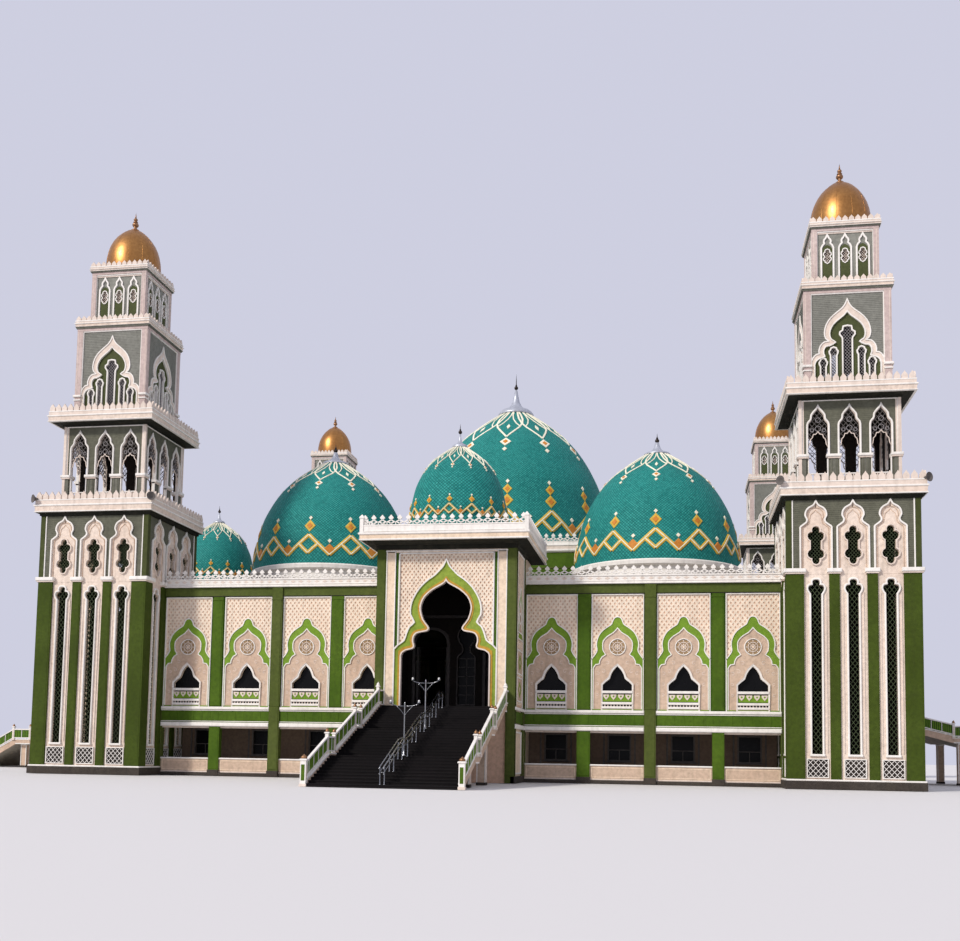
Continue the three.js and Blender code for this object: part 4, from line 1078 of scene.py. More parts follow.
class Skin:
    """The dome's surface: a point for any bearing and height above the foot, pushed out by a lift."""

    def __init__(self, R, z0, z1, shape):
        self.R, self.z0, self.H = R, z0, z1 - z0
        pts = smooth_line(shape, 6)
        self.r = np.array([a * R for a, _ in pts])
        self.h = np.array([b * self.H for _, b in pts])
        seg = np.hypot(np.diff(self.r), np.diff(self.h))
        self.s = np.concatenate([[0], np.cumsum(seg)])
        self.length = float(self.s[-1])

    def at_s(self, s):
        return float(np.interp(s, self.s, self.r)), float(np.interp(s, self.s, self.h))

    def s_of_h(self, h):
        return float(np.interp(h, self.h, self.s))

    def point(self, th, s, lift=0.0):
        r, h = self.at_s(s)
        r1, h1 = self.at_s(min(s + .05, self.length))
        r0, h0 = self.at_s(max(s - .05, 0))
        t = np.array([r1 - r0, h1 - h0])
        t /= np.linalg.norm(t)
        nr, nh = t[1], -t[0]
        r += nr * lift
        h += nh * lift
        return (r * math.sin(th), -r * math.cos(th), self.z0 + h)


def skin_patch(p, skin, pts, lift, mat, under=-.03, top_scale=.86):
    """A flat-topped lozenge or other convex outline, points (bearing, arc), standing on the skin."""
    c = np.mean(np.array(pts), axis=0)
    n = len(pts)
    low = [skin.point(a, s, under) for a, s in pts]
    mid = [skin.point(a, s, lift * .7) for a, s in pts]
    top = [skin.point(c[0] + (a - c[0]) * top_scale, c[1] + (s - c[1]) * top_scale, lift) for a, s in pts]
    v = low + mid + top
    f = []
    for i in range(n):
        j = (i + 1) % n
        f.append((i, j, n + j, n + i))
        f.append((n + i, n + j, 2 * n + j, 2 * n + i))
    f.append(tuple(2 * n + i for i in range(n)))
    f.append(tuple(range(n))[::-1])
    p.add(v, f, mat)


def skin_strip(p, skin, line, w, lift, mat, closed=False, under=-.03):
    """A ribbon of width w along a line of (bearing, arc) on the skin, slightly crowned."""
    pts = [(a, s) for a, s in line]
    n = len(pts)
    v = []
    for i in range(n):
        a0, s0 = pts[i - 1] if (closed or i > 0) else pts[i]
        a1, s1 = pts[(i + 1) % n] if (closed or i < n - 1) else pts[i]
        r, _ = skin.at_s(pts[i][1])
        dx, ds = (a1 - a0) * r, s1 - s0
        k = math.hypot(dx, ds) or 1
        px, ps = ds / k, -dx / k
        for o, l in ((-.5, under), (-.5, lift * .6), (-.28, lift), (.28, lift), (.5, lift * .6), (.5, under)):
            v.append(skin.point(pts[i][0] + px * w * o / max(r, .05), pts[i][1] + ps * w * o, l))
    f = []
    for i in range(n if closed else n - 1):
        a, b = i * 6, ((i + 1) % n) * 6
        for j in range(6):
            j2 = (j + 1) % 6
            f.append((a + j, a + j2, b + j2, b + j))
    if not closed:
        f.append(tuple(range(6))[::-1])
        f.append(tuple((n - 1) * 6 + j for j in range(6)))
    p.add(v, f, mat)


def dome_looks(R, z0, z1, zring, ztip, units, skin_mat, ball, pair=False, loops=8, fine=96, shape=DOME_SHAPE, crown=2.45, hang=1.0, phase=0.0, rise=0.0, cap=.74):
    """A pointed dome: tiled skin, the gold band at its foot, the crown of interlaced loops with
    pendants, cap and ball finial."""
    p = Part()
    sk = Skin(R, z0, z1, shape)
    core = [(sk.at_s(sk.length * i / 44)[0], z0 + sk.at_s(sk.length * i / 44)[1]) for i in range(45)]
    lathe(p, [(0, z0 - .05), (R, z0 - .05)] + core + [(0, z0 + sk.h[-1] + .01)], fine, skin_mat)
    # gold band
    U = 2 * math.pi / units
    k = R * U / 3.3
    H = sk.s_of_h
    z = lambda h: H(h * k + rise)
    for u in range(units):
        a0 = U * u + phase
        for sx in (-1, 1):
            line = [(a0 + sx * U * t, z(2.20 - 1.55 * t * 2)) for t in (0, .125, .25, .375, .5)]
            skin_strip(p, sk, line, .30 * k, .075, "dgold")
            skin_strip(p, sk, line, .10 * k, .095, "dcream")
            line = [(a0 + sx * U * t, z(.78 + 1.55 * t * 2)) for t in (0, .11, .22)]
            skin_strip(p, sk, line, .28 * k, .07, "dgold")
            skin_strip(p, sk, line, .09 * k, .09, "dcream")
        def lozenge(a, h, hw, hh, mat, lift):
            skin_patch(p, sk, [(a, z(h - hh)), (a + hw * U / 3.3, z(h)), (a, z(h + hh)), (a - hw * U / 3.3, z(h))], lift, mat)
        lozenge(a0, 2.92, .46, .48, "dgold", .06)
        lozenge(a0, 2.92, .25, .27, "dorange", .085)
        if pair:
            lozenge(a0, 3.78, .36, .38, "dgold", .06)
            lozenge(a0, 3.78, .19, .21, "dorange", .085)
            lozenge(a0, 4.36, .16, .17, "dcream", .07)
        else:
            lozenge(a0, 3.56, .17, .17, "dcream", .07)
        lozenge(a0 + U / 2, 1.10, .40, .38, "dorange", .09)
        lozenge(a0 + U / 2, 1.72, .17, .17, "dcream", .07)
    # crown of interlaced loops
    C = 2 * math.pi / loops
    top = sk.length - .03
    sc = R / 6.3
    b = sk.s_of_h(sk.H - crown)
    at = lambda t: b + (top - b) * t
    for u in range(loops):
        a0 = C * u
        half = [(0.0, 0.0), (.09, .08), (.22, .18), (.38, .30), (.51, .44), (.59, .62), (.61, .82), (.58, 1.0)]
        for sx in (-1, 1):
            skin_strip(p, sk, [(a0 + sx * C * t, at(q)) for t, q in half], .12 * sc, .06, "dcream")
            skin_strip(p, sk, [(a0 + sx * C * t, at(q)) for t, q in ((.40, .33), (.27, .44), (.14, .60), (.06, .80), (.05, .98))], .085 * sc, .055, "dcream")
        r, _ = sk.at_s(at(.30))
        skin_patch(p, sk, [(a0, at(.22)), (a0 + .12 * sc / r, at(.31)), (a0, at(.40)), (a0 - .12 * sc / r, at(.31))], .07, "dcream")
        hs = sc * hang
        for hh, off, mat, lift in ((.33, .44, "dcream", .07), (.17, .44, "dorange", .09), (.15, 1.02, "dcream", .07)):
            s0 = b - off * hs
            r, _ = sk.at_s(s0)
            hw = hh * hs * .95 / r
            skin_patch(p, sk, [(a0, s0 - hh * hs), (a0 + hw, s0), (a0, s0 + hh * hs), (a0 - hw, s0)], lift, mat)
    # white ring at the foot, and the drum under it
    lathe(p, [(0, zring), (R * .97, zring), (R * .97, z0 - .46), (R * 1.01, z0 - .44), (R * 1.03, z0 - .36), (R * 1.035, z0 - .1),
              (R * 1.025, z0 - .01), (R * 1.0, z0 + .02), (0, z0 + .02)], fine, "white", smooth=False)
    # wide low cap, drawn up into a spire with a dark ball
    zc = z0 + sk.h[-1]
    rc = sk.r[-1]
    hf = ztip - zc
    cap = max(cap, rc * 1.05)
    on_skin = [(t * cap, z0 + float(np.interp(t * cap, sk.r[::-1], sk.h[::-1])) + d * (2.5 if cap > 1.2 else 1.4)) for t, d in
               ((1.0, .035), (1.02, .07), (1.0, .11), (.90, .155), (.78, .185), (.66, .20))]
    zs = on_skin[-1][1]
    neck = [(cap * t, zs + h * cap) for t, h in ((.52, .07), (.40, .165), (.29, .31), (.205, .50), (.15, .74))]
    lathe(p, [(0, zc - .12)] + on_skin + neck + [(cap * .07, zc + .60 * hf), (0, zc + .61 * hf)], 40, "cap")
    blob(p, (0, 0, zc + .66 * hf), ball, "bead", 16, 9)
    blob(p, (0, 0, zc + .66 * hf + ball * 1.25), ball * .5, "bead", 12, 7)
    lathe(p, [(0, zc + .66 * hf), (ball * .28, zc + .68 * hf), (ball * .16, zc + .86 * hf), (0, ztip)], 10, "bead")
    return p


# ------------------------------------------------------------------ minarets (about their own axis)
def whole(half):
    """Right half given from the apex down to the foot, made a whole CCW outline."""
    return mirror_out(half[::-1])


def closed_half(half):
    """Right half from top to bottom, both ends on x = 0."""
    right = half[::-1]
    return right + [(-x, z) for x, z in half[1:-1]]


OGEE1 = [(0, 17.74), (.14, 17.46), (.43, 17.29), (.59, 17.08), (.64, 16.80), (.53, 16.57), (.59, 16.36), (.91, 16.12), (.94, 15.98), (.94, 13.15)]
QUATRE = [(0, 16.13), (.15, 16.08), (.225, 15.93), (.21, 15.76), (.33, 15.77), (.46, 15.66), (.49, 15.50), (.43, 15.34), (.30, 15.24), (.30, 14.96),
          (.30, 14.68), (.43, 14.58), (.49, 14.42), (.46, 14.26), (.33, 14.15), (.21, 14.14), (.225, 13.98), (.15, 13.82), (0, 13.76)]
LONG = [(0, 12.82), (.15, 12.78), (.23, 12.62), (.21, 12.48), (.34, 12.46), (.46, 12.36), (.47, 12.2), (.40, 12.04), (.31, 11.91), (.31, 2.12)]
GREYW = "grey"


def cornice(p, r, r_out, z0, z1, fascia="pale", soffit="olive_dk"):
    """Square cornice from wall half size r out to r_out, soffit at z0, top at z1."""
    h = z1 - z0
    # by default the soffit is olive darkened as painted shade
    square_loft(p, [(r - .02, z0 - .30 * h), (r + .07, z0 - .28 * h), (r + .07, z0 - .06 * h), (r + (r_out - r) * .8, z0 + .02), (r_out - .10, z0 + .03), (r_out - .10, z0 + .05)], soffit)
    square_loft(p, [(r_out - .12, z0 + .02), (r_out - .03, z0 + .03), (r_out, z0 + .05), (r_out, z0 + .16 * h), (r_out - .03, z0 + .2 * h)], "white")
    square_loft(p, [(r_out - .06, z0 + .15 * h), (r_out - .03, z0 + .8 * h)], fascia)
    square_loft(p, [(r_out - .04, z0 + .76 * h), (r_out + .03, z0 + .82 * h), (r_out + .03, z1 - .03), (r_out, z1)], "white")


MERLON = [(.175, 0), (.195, .16), (.185, .28), (.12, .38), (.05, .47), (0, .56), (-.05, .47), (-.12, .38), (-.185, .28), (-.195, .16), (-.175, 0)]


def merlons(p, r, z, base, height, mat="warm", pitch=.46):
    """Solid foot and a row of leaf-pointed merlons on all four sides, outer face at r."""
    n = int(round(2 * (r - .05) / pitch))
    w = 2 * (r - .02) / n
    k = (height - base) / .56
    one = Part()
    bar(one, -r, r - .16, z, z + base, r - .16, r, mat)
    bar(one, -r - .02, r - .18, z + base - .05, z + base + .02, r - .18, r + .02, "white")
    unit = Part()
    plate(unit, [[(x * w / .46, zz * k) for x, zz in MERLON]], -.055, .055, mat)
    one.stamp(unit, [(0, (-r + .02 + w * (i + .5), -(r - .08), z + base)) for i in range(n)])
    for q in range(4):
        add_turned(p, one, q)


def tower_face(even):
    """One face of the lowest stage; the four corner posts stand on the even faces only."""
    p = Part()
    # upper part
    longs = [shift(whole(smooth_line(LONG[:-1], 2) + [LONG[-1]]), c) for c in (-2.2, 0, 2.2)]
    quats = [shift(closed_half(QUATRE), c) for c in (-2.2, 0, 2.2)]
    rect = [(-3.9, 0), (3.9, 0), (3.9, 17.9), (-3.9, 17.9)]
    plate(p, [rect] + longs + quats, 3.60, 3.84, "pale", side="cream")
    plain = [shift(whole(LONG), c) for c in (-2.2, 0, 2.2)] + [shift(closed_half(QUATRE), c) for c in (-2.2, 0, 2.2)]
    # dark liner behind the window openings: painted shade
    plate(p, [rect] + plain, 3.57, 3.602, "dim")
    # grey-green field with its fine courses round the three cream ogees
    bar(p, -3.6, -2.2 - .94, 13.15, 17.86, 3.8, 3.90, GREYW)
    bar(p, 2.2 + .94, 3.6, 13.15, 17.86, 3.8, 3.90, GREYW)
    for c in (-1.1, 1.1):
        bar(p, c - .16, c + .16, 13.15, 15.98, 3.8, 3.90, GREYW)
    og = [shift(whole(smooth_line(OGEE1[:-1], 2) + [OGEE1[-1]]), c) for c in (-2.2, 0, 2.2)]
    top = [(-3.14, 15.96), (3.14, 15.96), (3.14, 17.86), (-3.14, 17.86)]
    # field over the ogees: one outline running along their heads
    head = [(3.14, 17.86), (-3.14, 17.86), (-3.14, 15.98)]
    for c in (-2.2, 0, 2.2):
        hp = smooth_line(OGEE1[:-1], 2)
        head += [(c - x, z) for x, z in hp[::-1]] + [(c + x, z) for x, z in hp[1:]]
    clean = [head[0]]
    for q in head[1:]:
        if abs(q[0] - clean[-1][0]) + abs(q[1] - clean[-1][1]) > 1e-4:
            clean.append(q)
    plate(p, [clean], 3.8, 3.90, GREYW)
    z = 16.15
    for i in range(12):
        zz = 16.3 + i * .13
        for a, b in ((-3.55, -3.16), (3.16, 3.55)):
            bar(p, a, b, zz, zz + .05, 3.88, 3.915, GREYW)
    for i in range(23):
        zz = 13.25 + i * .13
        for a, b in ((-3.55, -3.16), (3.16, 3.55)):
            bar(p, a, b, zz, zz + .05, 3.88, 3.915, GREYW)
    polys = [shift(whole(OGEE1), c) for c in (-2.2, 0, 2.2)]
    for i in range(13):
        zz = 16.2 + i * .13
        for a, b in clip((-3.14, zz), (3.14, zz), (-3.14, 3.14, zz - 1, zz + 1), polys):
            if b[0] - a[0] > .12:
                bar(p, a[0] + .03, b[0] - .03, zz, zz + .05, 3.88, 3.915, GREYW)
    for c, hole in zip((-2.2, 0, 2.2), quats):
        o = shift(whole(smooth_line(OGEE1[:-1], 2) + [OGEE1[-1]]), c)
        plate(p, [o, hole], 3.82, 3.855, "pale")
        line = smooth_line(OGEE1[:-1], 2) + [OGEE1[-1]]
        path = [(c - x, z) for x, z in line[::-1]] + [(c + x, z) for x, z in line[1:]]
        ribbon(p, path, .09, 3.85, 4.0, "white", bevel=.02)
        ins = [(max(x - .17, 0), z - .16 if x < .3 else z - .05) for x, z in OGEE1]
        path = [(c - x, z) for x, z in ins[::-1]] + [(c + x, z) for x, z in ins[1:]]
        ribbon(p, path, .035, 3.84, 3.90, "pink", bevel=.01)
        ribbon(p, offset(hole, .045), .07, 3.85, 3.975, "warm", closed=True, bevel=.02)
        lattice(p, (c - .5, c + .5, 13.7, 16.2), [hole], .21, .24, .032, 3.70, 3.74, "grille", keep_outside=False)
        ribbon(p, [(c - .34, 16.62), (c - .30, 16.86), (c - .12, 17.02), (c, 17.16), (c + .12, 17.02), (c + .30, 16.86), (c + .34, 16.62)], .03, 3.84, 3.885, "pink", bevel=.01)
    for s in (-1, 1):
        bar(p, s * 3.60 - .045, s * 3.60 + .045, 13.49, 17.86, 3.8, 3.97, "white", bevel=.02)
        if even:
            a, b = sorted((s * 3.65, s * 3.985))
            bar(p, a, b, 13.4, 17.9, 3.6, 3.985, "olive_m")
        a, b = sorted((s * 2.93, s * (3.985 if even else 3.60)))
        bar(p, a, b, 0, 13.2, 3.6, 3.985, "bright_m")
        a, b = sorted((s * 3.01, s * 3.905))
        bar(p, a, b, .6, 13.0, 3.9, 4.0, "bright_m", bevel=.015)
        # capitals
        a, b = sorted((s * 2.84, s * (4.07 if even else 3.69)))
        bar(p, a, b, 13.15, 13.25, 3.7, 4.07, "warm", bevel=.02)
        a, b = sorted((s * 2.81, s * (4.14 if even else 3.69)))
        bar(p, a, b, 13.24, 13.49, 3.7, 4.14, "white", bevel=.04)
        c = s * 1.12
        bar(p, c - .31, c + .31, 0, 13.2, 3.7, 3.96, "bright_m")
        bar(p, c - .25, c + .25, .6, 13.0, 3.8, 3.98, "bright_m", bevel=.015)
        bar(p, c - .38, c + .38, 13.15, 13.25, 3.7, 4.03, "warm", bevel=.02)
        bar(p, c - .44, c + .44, 13.24, 13.49, 3.7, 4.10, "white", bevel=.04)
    # long windows with frames and grilles
    for c, hole in zip((-2.2, 0, 2.2), longs):
        line = smooth_line(LONG[:-1], 2) + [LONG[-1]]
        path = [(c - x - (.05 if x > 0 else 0), z + (.05 if z > 12.4 else 0)) for x, z in line[::-1]] + [(c + x + .05, z + (.05 if z > 12.4 else 0)) for x, z in line[1:]]
        ribbon(p, path, .11, 3.8, 3.955, "white", bevel=.03)
        bar(p, c - .45, c + .45, 1.98, 2.12, 3.8, 4.0, "white", bevel=.03)
        lattice(p, (c - .5, c + .5, 2.12, 12.85), [hole], .27, .36, .036, 3.68, 3.73, "grille", keep_outside=False)
        for s in (-1, 1):
            bar(p, c + s * .60 - .025, c + s * .60 + .025, 2.2, 12.0, 3.82, 3.885, "warm", bevel=.01)
        # base panel
        ribbon(p, [(c - .62, .72), (c + .62, .72), (c + .62, 1.82), (c - .62, 1.82)], .055, 3.8, 3.93, "white", closed=True)
        bar(p, c - .60, c + .60, .74, 1.80, 3.82, 3.868, "dim")
        lattice(p, (c - .58, c + .58, .76, 1.78), [], .31, .34, .028, 3.82, 3.89, "white")
    return p


def tower_looks():
    p = Part()
    for q in range(4):
        add_turned(p, tower_face(q % 2 == 0), q)
    square_loft(p, [(4.10, 0), (4.10, .47), (4.07, .5)], "base")
    square_loft(p, [(4.05, .49), (4.06, .52), (4.06, .57), (4.03, .6)], "white")
    # dark band under the cornice: painted shade
    square_loft(p, [(4.0, 17.76), (4.0, 17.92)], "olive_dk")
    cornice(p, 4.0, 4.36, 17.97, 18.54)
    merlons(p, 4.30, 18.54, .33, .91)
    square_loft(p, [(4.1, 18.50), (4.1, 18.535)], "deck")
    return p


def horn(p, x, y, z, ang):
    """A horn loudspeaker on a short bracket."""
    prof = [(0, 0), (.07, 0), (.09, .10), (.11, .2), (.17, .30), (.27, .38), (.30, .42), (.28, .42), (.15, .32), (.05, .26), (0, .26)]
    h = Part()
    lathe(h, prof, 16, "dimtrim")
    v = np.concatenate(h.v)
    R = np.array(Matrix.Rotation(math.radians(90), 3, "Y"))
    Z = np.array(Matrix.Rotation(ang, 3, "Z"))
    h.v = [v @ R.T @ Z.T + np.array([x, y, z])]
    p.stamp(h, [(0, (0, 0, 0))])
    tube(p, [(x, y, z), (x - .12 * math.cos(ang), y - .12 * math.sin(ang), z - .05), (x - .18 * math.cos(ang), y - .18 * math.sin(ang), z - .42)], .03, "steel", 6)


ARCH2 = [(0, 24.10), (.13, 23.86), (.26, 23.71), (.45, 23.45), (.47, 23.25), (.52, 23.12), (.66, 22.95), (.70, 22.75), (.70, 20.87)]


def belfry_face(even):
    p = Part()
    cs = (-1.9, 0, 1.9)
    inner = [(x - .09 if x > 0 else 0, z - (.14 if x == 0 else .06)) for x, z in ARCH2[:-1]] + [(.61, 18.95)]
    inner = [(max(x, 0), z) for x, z in inner]
    holes = [shift(whole(inner), c) for c in cs]
    plate(p, [[(-3.0, 18.60), (3.0, 18.60), (3.0, 24.45), (-3.0, 24.45)]] + holes, 2.76, 2.98, GREYW, side="warm")
    # dark liner behind the arches: painted shade
    plate(p, [[(-2.75, 18.60), (2.75, 18.60), (2.75, 24.45), (-2.75, 24.45)]] + holes, 2.73, 2.762, "dim")
    line = smooth_line(ARCH2[:-1], 2) + [ARCH2[-1]]
    polys = [shift(whole(ARCH2[:-1] + [(.70, 18.5)]), c) for c in cs]
    for c, hole in zip(cs, holes):
        path = [(c - x + (.04 if x > 0 else 0), z - .03) for x, z in line[::-1]] + [(c + x - .04, z - .03) for x, z in line[1:]]
        ribbon(p, path, .115, 2.85, 3.07, "white", bevel=.03)
        # filigree in the head of the arch, its lower edge scalloped
        head = [(c + x, z) for x, z in [(.60, 21.35), (.61, 22.7)]] + [(c + x, z) for x, z in inner[:-1][::-1] if z > 22.72] + \
               [(c - x, z) for x, z in inner[:-1] if z > 22.72 and x > 0] + [(c - .61, 22.7), (c - .60, 21.35), (c - .50, 21.55), (c - .46, 21.85), (c - .34, 21.98), (c - .28, 22.18), (c - .12, 22.2), (c, 22.36),
                (c + .12, 22.2), (c + .28, 22.18), (c + .34, 21.98), (c + .46, 21.85), (c + .50, 21.55)]
        # filigree in greyed trim: painted shade
        lattice(p, (c - .62, c + .62, 21.3, 24.1), [head], .30, .34, .026, 2.90, 2.945, "dimtrim", keep_outside=False)
        ribbon(p, head, .045, 2.90, 2.96, "warm", closed=True, bevel=.01)
        for zz, rr in ((23.1, .15), (22.55, .17)):
            ribbon(p, circle(c, zz, rr, 12), .03, 2.91, 2.955, "filigree", closed=True, bevel=0)
        for t in (-1, 1):
            ribbon(p, circle(c + t * .36, 22.45, .11, 10), .03, 2.91, 2.955, "filigree", closed=True, bevel=0)
        bar(p, c - .61, c + .61, 18.9, 18.99, 2.8, 3.02, "white")
        for s in (-1, 1):
            bar(p, c + s * .585 - .035, c + s * .585 + .035, 18.95, 20.7, 2.82, 3.03, "white", bevel=.015)
    for zz in np.arange(21.0, 24.3, .12):
        for a, b in clip((-2.86, zz), (2.86, zz), (-2.86, 2.86, zz - 1, zz + 1), polys):
            if b[0] - a[0] > .1:
                bar(p, a[0] + .06, b[0] - .06, zz, zz + .05, 2.96, 2.995, GREYW)
    for s in (-1, 1):
        bar(p, s * 2.88 - .035, s * 2.88 + .035, 20.9, 24.36, 2.9, 3.055, "white", bevel=.02)
        if even:
            a, b = sorted((s * 2.90, s * 3.09))
            bar(p, a, b, 18.6, 24.45, 2.90, 3.09, "warm")
            a, b = sorted((s * 2.64, s * 3.07))
            bar(p, a, b, 18.6, 20.7, 2.64, 3.07, "greyf")
            a, b = sorted((s * 2.50, s * 3.16))
            bar(p, a, b, 20.60, 20.70, 2.50, 3.16, "warm", bevel=.02)
            a, b = sorted((s * 2.46, s * 3.20))
            bar(p, a, b, 20.69, 20.88, 2.46, 3.20, "white", bevel=.04)
        bar(p, s * .95 - .22, s * .95 + .22, 18.6, 20.7, 2.78, 3.02, "greyf")
        for t in (-1, 1):
            bar(p, s * .95 + t * .13 - .025, s * .95 + t * .13 + .025, 18.95, 20.62, 2.9, 3.045, GREYW, bevel=.01)
        bar(p, s * .95 - .40, s * .95 + .40, 20.60, 20.70, 2.8, 3.10, "warm", bevel=.02)
        bar(p, s * .95 - .46, s * .95 + .46, 20.69, 20.88, 2.8, 3.17, "white", bevel=.04)
    bar(p, -2.9, 2.9, 24.30, 24.38, 2.9, 3.055, "white", bevel=.02)
    # low guard between the columns
    for c in cs:
        bar(p, c - .60, c + .60, 19.62, 19.70, 2.84, 2.92, "white", bevel=.015)
        for i in range(5):
            bar(p, c - .46 + .23 * i - .03, c - .46 + .23 * i + .03, 18.95, 19.64, 2.85, 2.91, "warm")
    return p


def belfry_looks():
    p = Part()
    for q in range(4):
        add_turned(p, belfry_face(q % 2 == 0), q)
    square_loft(p, [(3.10, 18.545), (3.10, 18.90), (3.08, 18.92)], "warm")
    # dark band under the cornice: painted shade
    square_loft(p, [(3.08, 24.38), (3.08, 24.5)], "olive_dk")
    cornice(p, 3.1, 3.93, 24.5, 24.99)
    merlons(p, 3.87, 24.99, .28, .81)
    square_loft(p, [(3.7, 24.95), (3.7, 24.985)], "deck")
    return p


OG3 = smooth_line([(0, 31.05), (.10, 30.75), (.30, 30.45), (.62, 30.18), (1.02, 29.82), (1.30, 29.38), (1.41, 28.86), (1.33, 28.48), (1.14, 28.30),
                   (1.42, 28.26), (1.66, 28.02), (1.76, 27.68), (1.74, 27.50), (1.92, 27.46), (2.12, 27.25), (2.24, 26.95), (2.26, 26.68)], 2)
OG3_IN = smooth_line([(0, 30.24), (.22, 29.96), (.52, 29.72), (.86, 29.40), (1.06, 29.0), (1.08, 28.66), (.98, 28.40), (.74, 28.22),
                      (1.08, 28.02), (1.32, 27.98), (1.46, 27.74), (1.46, 27.48), (1.40, 27.30), (1.72, 27.20), (1.94, 27.02), (2.02, 26.78), (2.02, 26.68)], 2)


def trefoil(c, top, half, lobe, z0):
    """Small window outline: round head, two side lobes, straight sides down to z0 (right half)."""
    return [(0, top), (lobe * .55, top - .05), (lobe * .62, top - .20), (lobe * .62, top - .30), (lobe, top - .42), (lobe * 1.02, top - .58), (half + .02, top - .78), (half, top - .9), (half, z0)]


